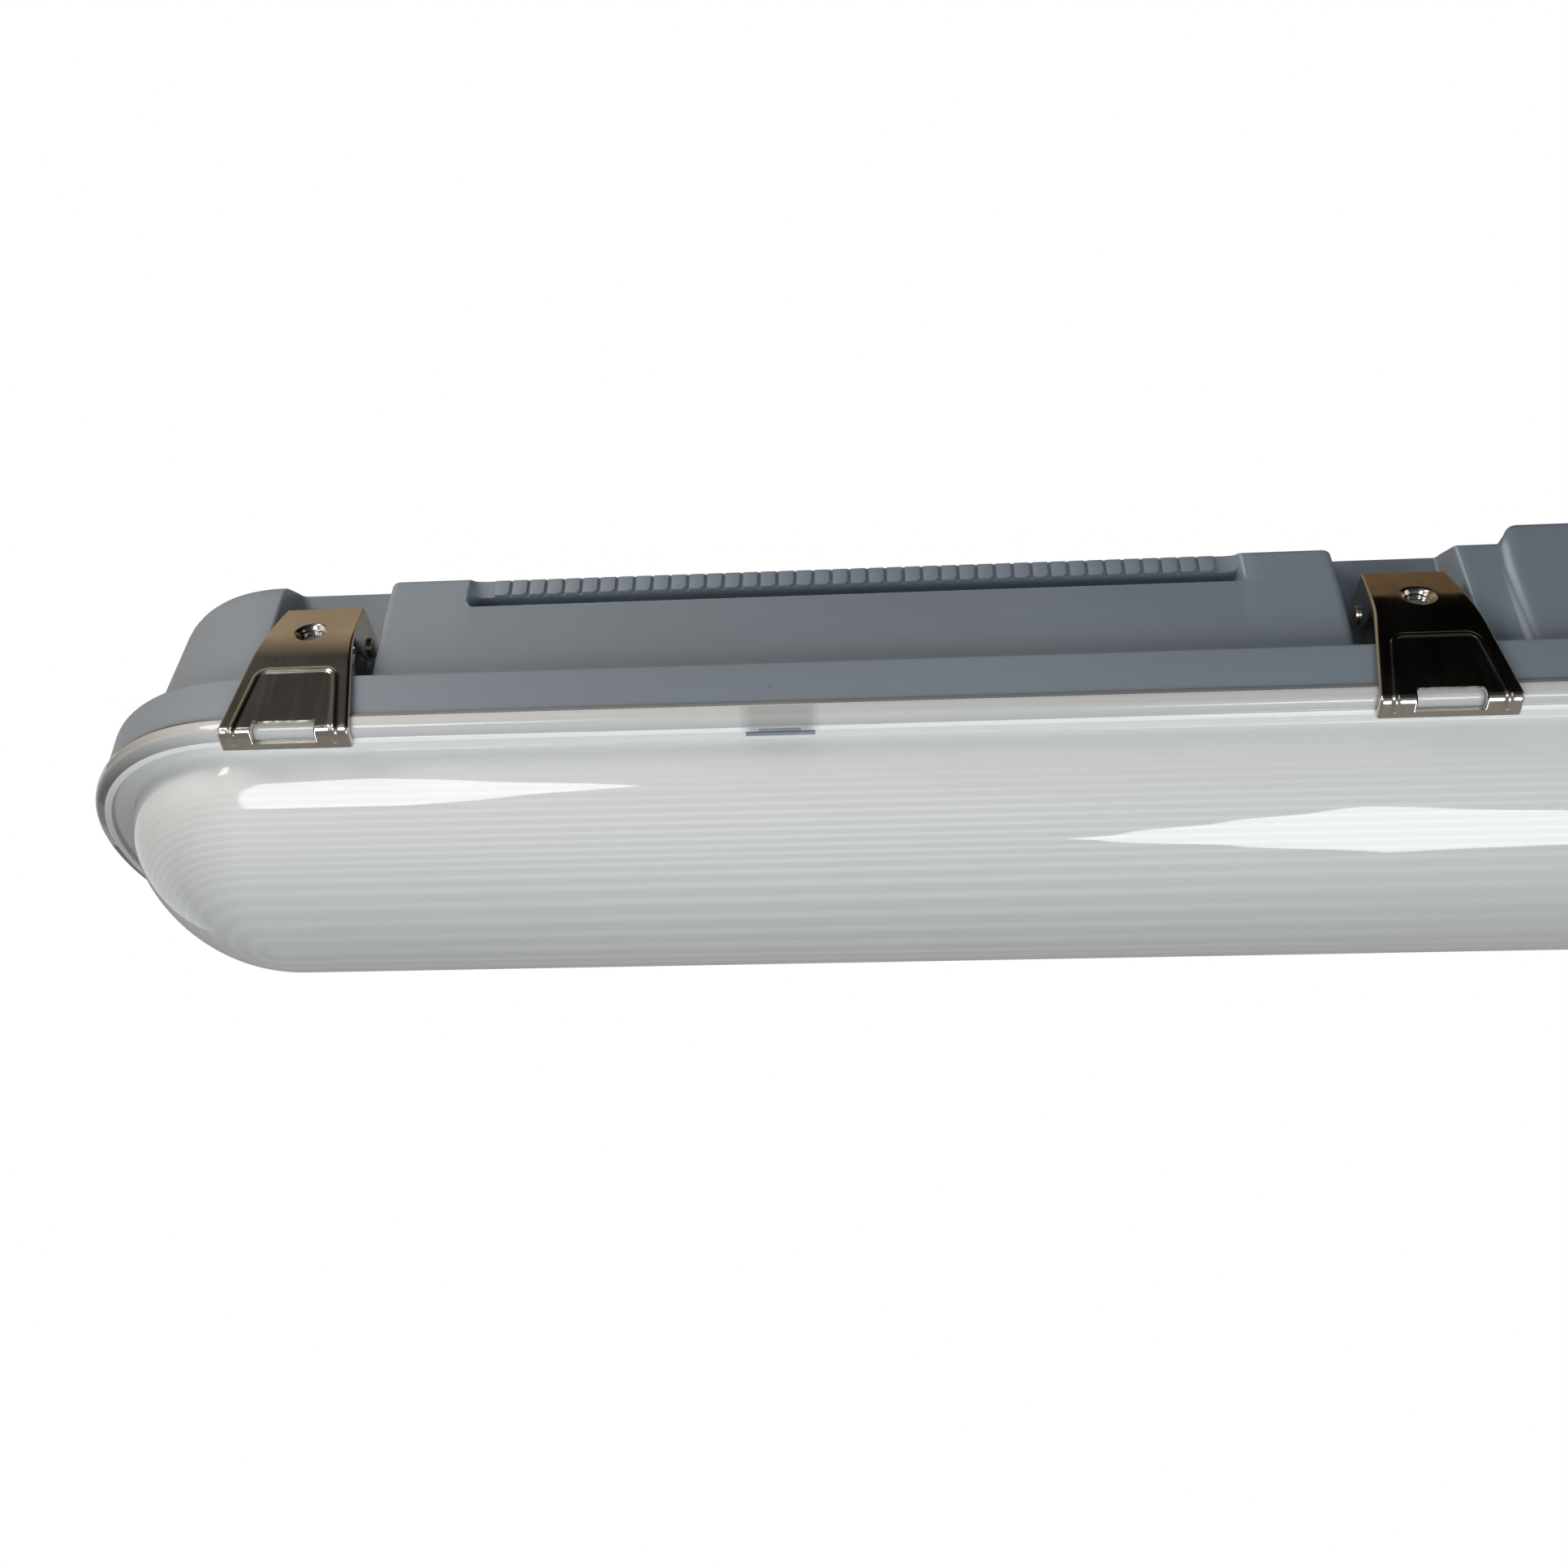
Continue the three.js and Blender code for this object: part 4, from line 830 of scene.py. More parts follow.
def make_gland_boss():
    """The thick round boss in the end wall that the cable gland is screwed into."""
    radius, bore = BOSS_RADIUS, BOSS_BORE
    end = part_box("housing")[1].x / MM
    start = end - BOSS_LENGTH
    profile = [(start, bore + 0.3), (start, radius), (end - 0.6, radius), (end - 0.15, radius - 0.2),
               (end, radius - 0.6), (end, bore + 0.4), (end - 0.4, bore), (start + 0.3, bore)]
    points, faces = revolved(profile, 72)
    piece = new_object("gland_boss", place(moved(points, (0, 0, GLAND_Z))), faces)
    dress(piece, "housing", "housing_grey", "moulded_grey")


def rack_tooth(half_width, side, end):
    """One flat tooth round x 0, with a sloped top and one lower corner cut off."""
    slope = (ROOF_EDGE[1] - BLOCK_EDGE[1]) / (BLOCK_EDGE[0] - ROOF_EDGE[0])
    low, cut = TOOTH_LOW_Z, TOOTH_CHAMFER
    rings = []
    for out in (RACK_GROOVE[0] - 0.3, TOOTH_FACE_OUT):
        top = RACK_GROOVE[2] - (out - RACK_GROOVE[0]) * slope - TOOTH_ROOF_GAP
        outline = [(-half_width, low), (half_width - cut, low), (half_width, low + cut), (half_width, top),
                   (-half_width, top)]
        rings.append([(-end * x * MM, side * out * MM, (z + RIM_Z) * MM) for x, z in outline])
    return bevelled_prism("tooth", *rings, TOOTH_BEVEL)


def make_rack_teeth():
    """The flat teeth on the back wall of each bracket groove."""
    wanted = settings()
    margin = wanted.teeth_margin / MM
    inner, outer = rack_span()[0] + margin, rack_span()[1] - margin
    pitch = (outer - inner) / wanted.tooth_count
    half_width = (pitch - wanted.tooth_notch / MM) / 2
    row = row_tree()
    for side_name, side in ROWS.items():
        for end_name, end in ENDS.items():
            tooth = rack_tooth(half_width, side, end)
            piece = repeated(f"rack_teeth_{side_name}_{end_name}", row, Piece=tooth, Count=wanted.tooth_count,
                             Start=(end * (inner + pitch / 2) * MM, 0, 0), Step=(end * pitch * MM, 0, 0),
                             Finish=material("moulded_grey"))
            dress(piece, "housing", "housing_grey", "moulded_grey")


# Diffuser

DOME_STEPS = 96
DOME_REACH = 0.985
BROAD_RIBS_FROM, BROAD_RIBS_OVER = 0.72, 0.2
RIM_FACE = (46.6, 49.6)
TONGUE = (43.8, 7.6)
CATCH_X = 460.8
CATCH_HALF = 7.6
CATCH_Z = (-0.42, 0.4)
CATCH_STEPS = {"inner": (43.9, 44.9, 1.0), "outer": (45.6, 46.4, 0.6)}

# Tones of the diffuser: above 0 the share of dark grey, as painted shade and, over the catches, the catch
# seen through the rim; below 0 the share of white, as painted highlight
# Painted shade towards the dome's bottom and painted highlight along its top
LENS_SHADE = 0.36
LENS_TOP_LIGHT = -0.3
# Painted shadow in the gap at the rim's top, painted highlights on its top edge, lip and straight recess, and
# the rim's face a little darker, most at its foot
GAP_SHADOW_LIP, RIM_EDGE_HIGHLIGHT, LIP_HIGHLIGHT, RECESS = 0.75, -0.1, -0.6, -0.12
RIM_UPPER, RIM_LOWER, FACE_FOOT = 0.1, 0.17, 0.3
# Painted shade added round the rounded ends
END_RIM, END_RECESS, END_LIP, END_DOME = 1.0, 0.75, 1.1, 0.55
CATCH_FACE, CATCH_LIP = 0.3, 1.0


def rib_pattern(profile, wanted):
    """Distance along the dome in ribs: fine ribs on the sides and broad ones underneath."""
    fine, broad = wanted.rib_pitch / MM, wanted.broad_rib_pitch / MM
    share = np.clip((-profile[1:, 1] / DOME_DEPTH - BROAD_RIBS_FROM) / BROAD_RIBS_OVER, 0, 1)
    steps = np.hypot(*np.diff(profile, axis=0).T) / (fine + (broad - fine) * share)
    return np.concatenate([[0], np.cumsum(steps)])


def make_diffuser():
    """The diffuser: a rounded dome with nested ribs on its inside and a beaded rim."""
    wanted = settings()
    turn = np.linspace(0, DOME_REACH, DOME_STEPS) * math.pi / 2
    power = 2 / wanted.dome_power
    half_width, wall = wanted.dome_half_width / MM, wanted.dome_wall / MM
    outer = np.column_stack([half_width * np.cos(turn) ** power, -DOME_DEPTH * np.sin(turn) ** power])
    pattern = rib_pattern(outer, wanted)
    ribs = wanted.rib_depth / MM * (0.5 + 0.5 * np.cos(2 * math.pi * pattern))
    inner = outer * [(half_width - wall) / half_width, (DOME_DEPTH - wall) / DOME_DEPTH]
    slope = np.gradient(inner, axis=0)
    slope /= np.hypot(slope[:, 0], slope[:, 1])[:, None]
    inner = inner + np.column_stack([slope[:, 1], -slope[:, 0]]) * ribs[:, None]
    rim_section, rim_tones = rim_outline(half_width, outer[0])
    tongue, tongue_top = TONGUE
    top = [(half_width - wall, RIM_HEIGHT), (tongue, RIM_HEIGHT), TONGUE, (tongue + 1.2, tongue_top)]
    section = np.vstack([inner[::-1], top, rim_section[:-1], outer])
    depth = -outer[:, 1] / DOME_DEPTH
    # Painted shade growing towards the dome's bottom, and painted highlight along its top
    underside = LENS_SHADE * depth ** 4 + LENS_TOP_LIGHT * (1 - ease(depth, 0.0, 0.4))
    tones = np.concatenate([np.zeros(len(inner) + len(top)), rim_tones[:-1], underside])
    straight = list(np.linspace(-END_CENTRE_X, END_CENTRE_X, 64))
    for sign in ENDS.values():
        straight += [sign * CATCH_X + offset for offset in np.linspace(-9, 9, 13)]
        straight += [sign * (END_CENTRE_X - offset) for offset in (0.3, 1.0, 3.0, 7.0)]
    loop = plan_loop(sorted(straight))
    points, faces = loft(loop, loop_sections([section] * len(straight), section))
    piece = new_object("diffuser_lens", place(points), faces, LENS_SHARP)
    along = np.concatenate([np.zeros(len(section) - len(outer)), pattern])
    painted = np.column_stack([lens_tones(loop, tones, section), np.tile(along, len(loop))])
    paint_corners(piece.data, painted, "ribs")
    dress(piece, "housing", "diffuser_milk", "milky_ribbed", "diffuser")


def rim_outline(half_width, dome_start):
    """The rim's outside from its top to the dome, and the tone of each point: painted shadow in the gap at
    its top, painted highlights on its top edge, lip and recess, and a darker face.
    """
    inside, rim = RIM_FACE
    top, seat, recess = RIM_HEIGHT, 4.85, 1.5
    corners = [(rim - 4.6, top, 0, 0, 0), (48.8, top, 0, 0, GAP_SHADOW_LIP), (48.8, seat, 0, 0, GAP_SHADOW_LIP),
               (49.25, seat, 0.2, 2, GAP_SHADOW_LIP), (49.3, top, 0.05, 1, GAP_SHADOW_LIP),
               (rim - 0.1, top - 0.02, 0.1, 2, RIM_EDGE_HIGHLIGHT), (rim, 3.2, 0.3, 2, RIM_UPPER),
               (rim - 0.25, 1.0, 1.2, 5, RIM_LOWER),
               (inside + 0.25, 0.25, 0.5, 4, FACE_FOOT), (inside, -0.2, 0.2, 2, LIP_HIGHLIGHT),
               (45.2, -0.2, 0.2, 3, LIP_HIGHLIGHT), (45.0, recess, 0.5, 3, RECESS),
               (half_width + 0.25, recess, 0.3, 3, RECESS), (half_width + 0.05, 0.8, 0.2, 2, LENS_TOP_LIGHT),
               tuple(dome_start) + (0, 0, 0)]
    tones = []
    for *_, steps, tone in corners:
        tones += [tone] * (steps + 1 if steps else 1)
    return rounded([corner[:4] for corner in corners]), np.array(tones)


def lens_tones(loop, tones, section):
    """Tones of every point: painted shade on the rim, recess, lip and dome round the ends, and the rim darker
    over the catches, which show through it.
    """
    every = np.tile(tones, (len(loop), 1))
    round_end = np.abs(loop[:, 1])[:, None]
    out, up = section[:, 0], section[:, 1]
    # Painted shade round the ends, less towards the dome's bottom
    dome = END_DOME * (1 - np.clip(-up / DOME_DEPTH, 0, 1) ** 2)
    darker = np.where(tones == RECESS, END_RECESS, np.where(tones == LIP_HIGHLIGHT, END_LIP, dome))
    every += round_end * np.where(out > RIM_FACE[0] - 0.1, END_RIM, darker)
    near = ease(CATCH_HALF + 1.2 - abs(abs(loop[:, 0]) - CATCH_X), 0.0, 2.4)
    behind = (near * (round_end[:, 0] < 1e-6))[:, None]
    every += behind * ((out > RIM_FACE[0]) & (up < RIM_HEIGHT - 0.3) & (up > 0.1)) * CATCH_FACE
    every += behind * (tones == LIP_HIGHLIGHT) * CATCH_LIP
    return every.ravel()


def make_catches():
    """The two short steps of each small catch that show under the rim."""
    low, high = CATCH_Z
    for row, side in ROWS.items():
        for end_name, end in ENDS.items():
            for step_name, (inside, outside, share) in CATCH_STEPS.items():
                outline = [(inside, low + 0.05), (inside + 0.3, low), (outside - 0.15, low),
                           (outside, low + 0.15), (outside, high), (inside, high)]
                shape = [(side * out * MM, (up + RIM_Z) * MM) for out, up in outline]
                middle, half = end * CATCH_X * MM, share * CATCH_HALF * MM
                piece = eased_prism(f"rim_catch_{step_name}_{row}_{end_name}", shape, middle - half,
                                    middle + half, CATCH_BEVEL)
                dress(piece, "housing", "housing_grey", "moulded_grey")


# Latches

HOOK_TIP = (46.4, -2.1)
CLIP_BEND = (51.2, -0.7)
CLIP_WAIST = (50.0, 25.4)
CLIP_TOP = (43.3, 40.5)
CLIP_SECTION = [HOOK_TIP + (0, 0), CLIP_BEND + (1.7, 12), CLIP_WAIST + (6.0, 16), CLIP_TOP + (0, 0)]
CLIP_BOTTOM_HALF = 14.85
CLIP_WAIST_HALF = 11.0
CLIP_TOP_HALF = 9.55
WING_BACK = [(48.4, 26.6, 0, 0), (37.6, 30.3, 1.5, 6), (33.0, 32.0, 1.6, 6), (31.9, 36.0, 1.2, 6),
             (32.8, 39.7, 0, 0)]
WING_EASE = 0.12
FOLD_RADIUS = 0.8
FLANGE_DEPTH = 1.15
SLOT_HALF = 7.1
SLOT_TOP_Z = 2.2
SLOT_TIP_STRIP = 1.5
SLOT_CORNER = 1.4
SHEAR_ROUGHNESS = 0.07
HOLE_Z = 30.0
HOLE_PATCH = 4.6
HOLE_PATCH_STEPS = 12
HOLE_COLLAR = [(4.2, 0.0), (4.05, -0.01), (3.9, -0.06), (3.7, -0.2), (3.5, -0.42), (3.3, -0.7), (3.1, -1.0),
               (2.95, -1.25)]
HOLE_THREAD = [(2.6 + 0.25 * (k % 2), -1.4 - 0.25 * k) for k in range(6)]
BESIDE_HOLE = np.array([5.2, 5.7, 6.05, 6.4, 6.75, SLOT_HALF])
BEAD_TOP_HALF = 8.8
BEAD_BOTTOM_HALF = 11.5
BEAD_TOP_Z = 16.9
BEAD_END = 1.9
BEAD_HALF_WIDTH = 1.0
BEAD_RISE = 0.3
BEAD_CORNER = 2.2
PIN_SHANK = 9.8
PIN_RADIUS = 1.45


class SheetPath:
    """The clip's outer face in the plane across the fixture, by distance from the hook's tip."""

    def __init__(self, corners):
        self.places = rounded(corners)
        self.length = path_lengths(self.places)
        tangent = np.gradient(self.places, self.length, axis=0)
        tangent /= np.hypot(tangent[:, 0], tangent[:, 1])[:, None]
        self.outward = np.column_stack([tangent[:, 1], -tangent[:, 0]])

    def at(self, distance):
        """The place at a distance and the direction away from the sheet there."""
        place_there = [np.interp(distance, self.length, self.places[:, k]) for k in (0, 1)]
        outward = [np.interp(distance, self.length, self.outward[:, k]) for k in (0, 1)]
        return place_there, outward

    def distance_at_height(self, z):
        """The distance at which the sheet, past its lowest point, reaches a height."""
        start = int(np.argmin(self.places[:, 1]))
        return float(np.interp(z, self.places[start:, 1], self.length[start:]))


def clip_half_width(z):
    """Half the width of the clip at a height."""
    heights, halves = (0, CLIP_WAIST[1], CLIP_TOP[1]), (CLIP_BOTTOM_HALF, CLIP_WAIST_HALF, CLIP_TOP_HALF)
    return float(np.interp(z, heights, halves))


def bead_height(x, z, distance, top_distance):
    """Height over the sheet of the pressed bead that runs up one side, across and down the other."""
    middle = BEAD_BOTTOM_HALF + (BEAD_TOP_HALF - BEAD_BOTTOM_HALF) * max(z, 0) / BEAD_TOP_Z
    side, top, corner = middle - abs(x), top_distance - distance, BEAD_CORNER
    if side > corner or top > corner:
        apart = abs(min(side, top))
    else:
        apart = abs(corner - math.hypot(corner - side, corner - top))
    if distance < BEAD_END:
        apart = math.hypot(side, BEAD_END - distance)
    return BEAD_RISE * (0.5 + 0.5 * math.cos(math.pi * min(1.0, apart / BEAD_HALF_WIDTH)))


def clip_rows(path):
    """Distances of the sheet's rows of points, with rows on the edges of the slot and of the hole's patch."""
    slot_top, hole = path.distance_at_height(SLOT_TOP_Z), path.distance_at_height(HOLE_Z)
    bead, corner_start = path.distance_at_height(BEAD_TOP_Z), slot_top - SLOT_CORNER
    hole_low, hole_high = hole - HOLE_PATCH, hole + HOLE_PATCH
    stretches = [(0, SLOT_TIP_STRIP, 5), (SLOT_TIP_STRIP, corner_start, 16), (corner_start, slot_top, 5),
                 (slot_top, bead - 2.5, 22), (bead - 2.5, bead + 1.5, 16), (bead + 1.5, hole_low, 14),
                 (hole_low, hole_high, HOLE_PATCH_STEPS), (hole_high, path.length[-1], 12)]
    rows = [0.0]
    for start, end, steps in stretches:
        rows += list(np.linspace(start, end, steps + 1)[1:])
    return np.array(rows), slot_top, bead, hole


def clip_edge(path, distance, waist, wing_back, back_length):
    """The folded edge on one side of the sheet: a small flange below, a wing for the pivot above."""
    (out, z), outward = path.at(distance)
    half = clip_half_width(max(z, 0))
    flat = half - FOLD_RADIUS
    edge = []
    for angle in np.linspace(0, math.pi / 2, 7)[1:]:
        inset = FOLD_RADIUS * (1 - math.cos(angle))
        edge.append((flat + FOLD_RADIUS * math.sin(angle), out - outward[0] * inset, z - outward[1] * inset))
    last = edge[-1]
    short = FLANGE_DEPTH - FOLD_RADIUS
    end = (last[0], last[1] - outward[0] * short, last[2] - outward[1] * short)
    if distance > waist:
        share = (distance - waist) / (path.length[-1] - waist)
        back = [np.interp(share, back_length / back_length[-1], wing_back[:, k]) for k in (0, 1)]
        deep = float(ease(share, 0.0, WING_EASE))
        wing = (CLIP_TOP_HALF, back[0], back[1])
        flange = (half, end[1], end[2])
        end = tuple(a + (b - a) * deep for a, b in zip(flange, wing))
    for share in np.linspace(0, 1, 9)[1:]:
        edge.append(tuple(a + (b - a) * share for a, b in zip(last, end)))
    return [(x, -o, up) for x, o, up in edge]


def slot_corner(x, distance, slot_top):
    """Moves a grid point on the slot's edge onto the slot's rounded upper corner."""
    radius = SLOT_CORNER
    across, along = abs(x) - (SLOT_HALF - radius), distance - (slot_top - radius)

    def inset(reach):
        """How far the arc lies inside its corner at a reach along the slot's edge."""
        if reach > 0.999 * radius:
            return 0.29 * radius
        return radius - math.sqrt(radius ** 2 - min(reach, 0.72 * radius) ** 2)

    if abs(distance - slot_top) < NEARLY and 0 < across <= radius + NEARLY:
        distance -= inset(across)
    if abs(abs(x) - SLOT_HALF) < NEARLY and 0 < along <= radius + NEARLY:
        x -= math.copysign(inset(along), x)
    return x, distance


def clip_points(path, rows, slot_top, bead):
    """The sheet's points, row by row from the hook's tip, with the folded edge on both sides."""
    waist = path.distance_at_height(CLIP_WAIST[1])
    middle = np.linspace(-HOLE_PATCH, HOLE_PATCH, HOLE_PATCH_STEPS + 1)
    wing_back = rounded(WING_BACK)
    back_length = path_lengths(wing_back)
    points = []
    for distance in rows:
        (_, z), _ = path.at(distance)
        flat = clip_half_width(max(z, 0)) - FOLD_RADIUS
        right = np.concatenate([BESIDE_HOLE, SLOT_HALF + (flat - SLOT_HALF) * np.linspace(0, 1, 21)[1:]])
        line = []
        for x in np.concatenate([-right[::-1], middle, right]):
            x, along = slot_corner(x, distance, slot_top)
            if abs(distance - slot_top) < NEARLY and abs(x) < SLOT_HALF - SLOT_CORNER:
                along += SHEAR_ROUGHNESS * math.sin(23.0 * x) * math.sin(7.3 * x + 1.0)
            (out, up), outward = path.at(along)
            height = bead_height(x, up, along, bead)
            line.append((x, -(out + outward[0] * height), up + outward[1] * height))
        edge = clip_edge(path, distance, waist, wing_back, back_length)
        points += [(-x, y, up) for x, y, up in reversed(edge)] + line + edge
    return points


def clip_faces(rows, slot_top, hole_row, columns):
    """Faces between the sheet's points, left out over the slot and round the tapped hole."""
    patch = HOLE_PATCH_STEPS // 2
    faces = []
    for r in range(len(rows) - 1):
        by_slot = SLOT_TIP_STRIP - NEARLY < rows[r] and rows[r + 1] < slot_top + NEARLY
        by_hole = abs(r + 0.5 - hole_row) < patch
        for c in range(columns - 1):
            across = abs(c + 0.5 - columns // 2)
            if not (by_slot and across < patch + len(BESIDE_HOLE)) and not (by_hole and across < patch):
                a = r * columns + c
                faces.append((a, a + 1, a + columns + 1, a + columns))
    return faces


def add_hole(points, faces, path, hole, hole_row, columns):
    """Fills the square patch round the tapped hole with rings that run down into its drawn collar."""
    patch = HOLE_PATCH_STEPS // 2
    steps = range(-patch, patch)
    border = [(-patch, k) for k in steps] + [(k, patch) for k in steps]
    border += [(patch, -k) for k in steps] + [(-k, -patch) for k in steps]
    previous = [(hole_row + r) * columns + columns // 2 + c for r, c in border]
    for radius, height in HOLE_COLLAR + HOLE_THREAD:
        ring = list(range(len(points), len(points) + len(border)))
        for angle in (math.atan2(r, c) for r, c in border):
            (out, z), outward = path.at(hole + radius * math.sin(angle))
            points.append((radius * math.cos(angle), -(out + outward[0] * height), z + outward[1] * height))
        faces += zip(previous, previous[1:] + previous[:1], ring[1:] + ring[:1], ring)
        previous = ring


def make_clip():
    """One latch clip facing -Y with its middle at x 0, as a bevelled sheet."""
    path = SheetPath(CLIP_SECTION)
    rows, slot_top, bead, hole = clip_rows(path)
    points = clip_points(path, rows, slot_top, bead)
    columns = len(points) // len(rows)
    hole_row = int(np.argmin(abs(rows - hole)))
    faces = clip_faces(rows, slot_top, hole_row, columns)
    add_hole(points, faces, path, hole, hole_row, columns)
    piece = new_object("clip", place(points), faces, recalculate=False)
    shape = bmesh.new()
    shape.from_mesh(piece.data)
    loose = [point for point in shape.verts if not point.link_faces]
    bmesh.ops.delete(shape, geom=loose, context="VERTS")
    shape.to_mesh(piece.data)
    shape.free()
    thick = piece.modifiers.new("thickness", "SOLIDIFY")
    thick.thickness, thick.offset, thick.use_even_offset = settings().sheet_thickness, -1.0, False
    bevel_edges(piece, CLIP_BEVEL).angle_limit = math.radians(CLIP_BEVEL_ANGLE)
    baked(piece)
    piece.data.polygons.foreach_set("use_smooth", [True] * len(piece.data.polygons))
    piece.data.set_sharp_from_angle(angle=math.radians(CLIP_SHARP))
    return piece


def make_pin():
    """One pivot pin with two riveted heads, for the middle latch in front."""
    _, head, _, centre = turned_box("pivot_pin_front_3")
    low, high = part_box("pivot_pin_front_3")
    head_radius = (high.z - low.z) / 2
    shank, radius = PIN_SHANK * MM, PIN_RADIUS * MM
    end = [(-head, 0), (-head, head_radius * 0.45), (-head + 0.15 * MM, head_radius * 0.8),
           (-head + 0.6 * MM, head_radius), (-shank, head_radius), (-shank, radius)]
    points, faces = turned_points(end + [(-x, r) for x, r in reversed(end)], 24)
    return new_object("pin", moved(points, centre), faces)


def copy_to(drawn, name, row, number):
    """A copy at a latch of a piece that was drawn for the middle latch in front."""
    turn = Matrix.Rotation(math.pi if row == "rear" else 0.0, 4, "Z")
    mesh = drawn.data.copy()
    mesh.transform(Matrix.Translation((station_x(number) * MM, 0, 0)) @ turn)
    piece = bpy.data.objects.new(name, mesh)
    bpy.context.scene.collection.objects.link(piece)
    return piece


def make_latches():
    """Clips, pins and links of every latch."""
    clip, pin = make_clip(), make_pin()
    for row, number in LATCHES:
        latch = f"{row}_{number}"
        body = f"latch_clip_{latch}"
        sheet = copy_to(clip, f"latch_clip_sheet_{latch}", row, number)
        dress(sheet, body, "stainless", "rolled_stainless", f"clip_{latch}")
        rivet = copy_to(pin, f"latch_rivet_{latch}", row, number)
        dress(rivet, body, "stainless", "rolled_stainless", f"pivot_pin_{latch}")
        paint_node(f"link_{latch}", "rolled_stainless")
    bpy.data.objects.remove(clip)
    bpy.data.objects.remove(pin)


# Inside and gland

INSIDE_FINISHES = {
    "gasket": "foamed_gasket", "gear_tray": "white_powder", "led_driver": "zinc_plate",
    "terminal_block": "terminal_nylon", "mains_lead": "lead_sheath", "gland_locknut": "gland_nylon",
    "led_board": "white_board", "board_screw": "zinc_plate", "tray_screw": "zinc_plate",
    "driver_screw": "zinc_plate",
}
NUT_MOUTH = 5.1
NUT_NECK = 7.3
GRIP_LENGTH = 7.6
GRIP_SECTION = [(-0.42, -0.5), (0.42, -0.5), (0.25, 0.62), (-0.25, 0.62)]
BODY_BORE = 4.5
BODY_NECK = 7.0
THREAD_RADIUS = 8.0
THREAD_PITCH = 1.5
HEXAGON_TURN = math.pi / 6


def paint_node(name, finish):
    """A carried-over node keeps its shape and gets a procedural material."""
    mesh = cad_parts[name].data
    mesh.materials.clear()
    mesh.materials.append(material(finish))


def paint_inside():
    """Gives each carried-over piece inside the fixture its finish."""
    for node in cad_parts:
        for start, finish in INSIDE_FINISHES.items():
            if node.startswith(start):
                paint_node(node, finish)


def turned_box(node):
    """Start, end and radius of a piece along X, and the centre of its section at x 0, in metres."""
    low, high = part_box(node)
    centre = Vector((0, (low.y + high.y) / 2, (low.z + high.z) / 2))
    return low.x, high.x, (high.y - low.y) / 2, centre


def make_gland():
    """The cable gland: hexagon body, domed nut with grip ribs and the blank seal in its mouth."""
    start, end, radius, centre = turned_box("gland_nut")
    mouth, neck, wall = NUT_MOUTH * MM, NUT_NECK * MM, radius - 0.7 * MM
    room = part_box("gland_seal")[1].x + SEAT_GAP * MM
    profile = [(start, neck), (start, radius - 1.2 * MM), (start + 0.6 * MM, wall), (end - 4 * MM, wall),
               (end - 2.6 * MM, radius - 1.2 * MM), (end - 1.2 * MM, radius * 0.8),
               (end - 0.3 * MM, radius * 0.68), (end, radius * 0.6), (end, mouth + 0.3 * MM),
               (end - 0.3 * MM, mouth), (room, mouth), (room, neck)]
    points, faces = revolved(profile, 64)
    nut = new_object("gland_cap_nut", moved(points, centre), faces)
    dress(nut, "housing", "gland_grey", "gland_nylon", "gland_nut")
    outline = [(across * MM, up * MM) for across, up in GRIP_SECTION]
    first = start + 0.7 * MM
    rib = eased_prism("rib", outline, first, first + GRIP_LENGTH * MM, GRIP_BEVEL)
    ribs = repeated("gland_grip_ribs", ring_tree(), Piece=rib, Count=settings().gland_rib_count,
                    Radius=wall, Centre=centre, Finish=material("gland_nylon"))
    dress(ribs, "housing", "gland_grey", "gland_nylon")
    make_gland_body(centre)
    start, end, radius, _ = turned_box("gland_seal")
    profile = [(start, 0), (start, radius * 0.94), (start + 0.3 * MM, radius), (end - 0.3 * MM, radius),
               (end, radius * 0.94), (end, 4.6 * MM), (end - 0.6 * MM, 4.0 * MM), (end - 0.6 * MM, 0)]
    points, faces = turned_points(profile, 48)
    seal = new_object("gland_blank_seal", moved(points, centre), faces)
    dress(seal, "housing", "seal_rubber", "seal_rubber", "gland_seal")


def make_gland_body(centre):
    """Hexagon with turned-down corners, thread and bore."""
    start, end, to_flat, _ = turned_box("gland_body")
    hexagon_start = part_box("housing")[1].x + SEAT_GAP * MM
    hexagon_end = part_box("gland_nut")[0].x - SEAT_GAP * MM
    bore, thread, neck = BODY_BORE * MM, THREAD_RADIUS * MM, BODY_NECK * MM
    face, corner, root = to_flat * 0.9, to_flat * 1.2, thread - 0.7 * MM
    outline = [(start, bore, 0), (start, thread - 0.8 * MM, 0)]
    for k in range(int((hexagon_start - start) / (THREAD_PITCH * MM))):
        outline += [(start + (0.4 + THREAD_PITCH * k) * MM, root, 0),
                    (start + (0.95 + THREAD_PITCH * k) * MM, thread, 0)]
    outline += [(hexagon_start, root, 0), (hexagon_start, face, 1), (hexagon_start + 0.8 * MM, corner, 1),
                (hexagon_end - 0.8 * MM, corner, 1), (hexagon_end, face, 1), (hexagon_end, neck, 0),
                (end - 0.4 * MM, neck, 0), (end, neck - 0.4 * MM, 0), (end, bore, 0)]
    sides, points = 72, []
    for x, radius, shaped in outline:
        for k in range(sides):
            angle = 2 * math.pi * k / sides
            from_flat = (angle + HEXAGON_TURN) % (2 * HEXAGON_TURN) - HEXAGON_TURN
            limit = (to_flat * math.cos(HEXAGON_TURN)) / math.cos(from_flat) if shaped else radius
            reach = min(radius, limit)
            points.append((x, reach * math.cos(angle + HEXAGON_TURN), reach * math.sin(angle + HEXAGON_TURN)))
    piece = new_object("gland_hexagon_body", moved(points, centre), ring_faces(len(outline), sides),
                       HEXAGON_SHARP)
    dress(piece, "housing", "gland_grey", "gland_nylon", "gland_body")


# Stage

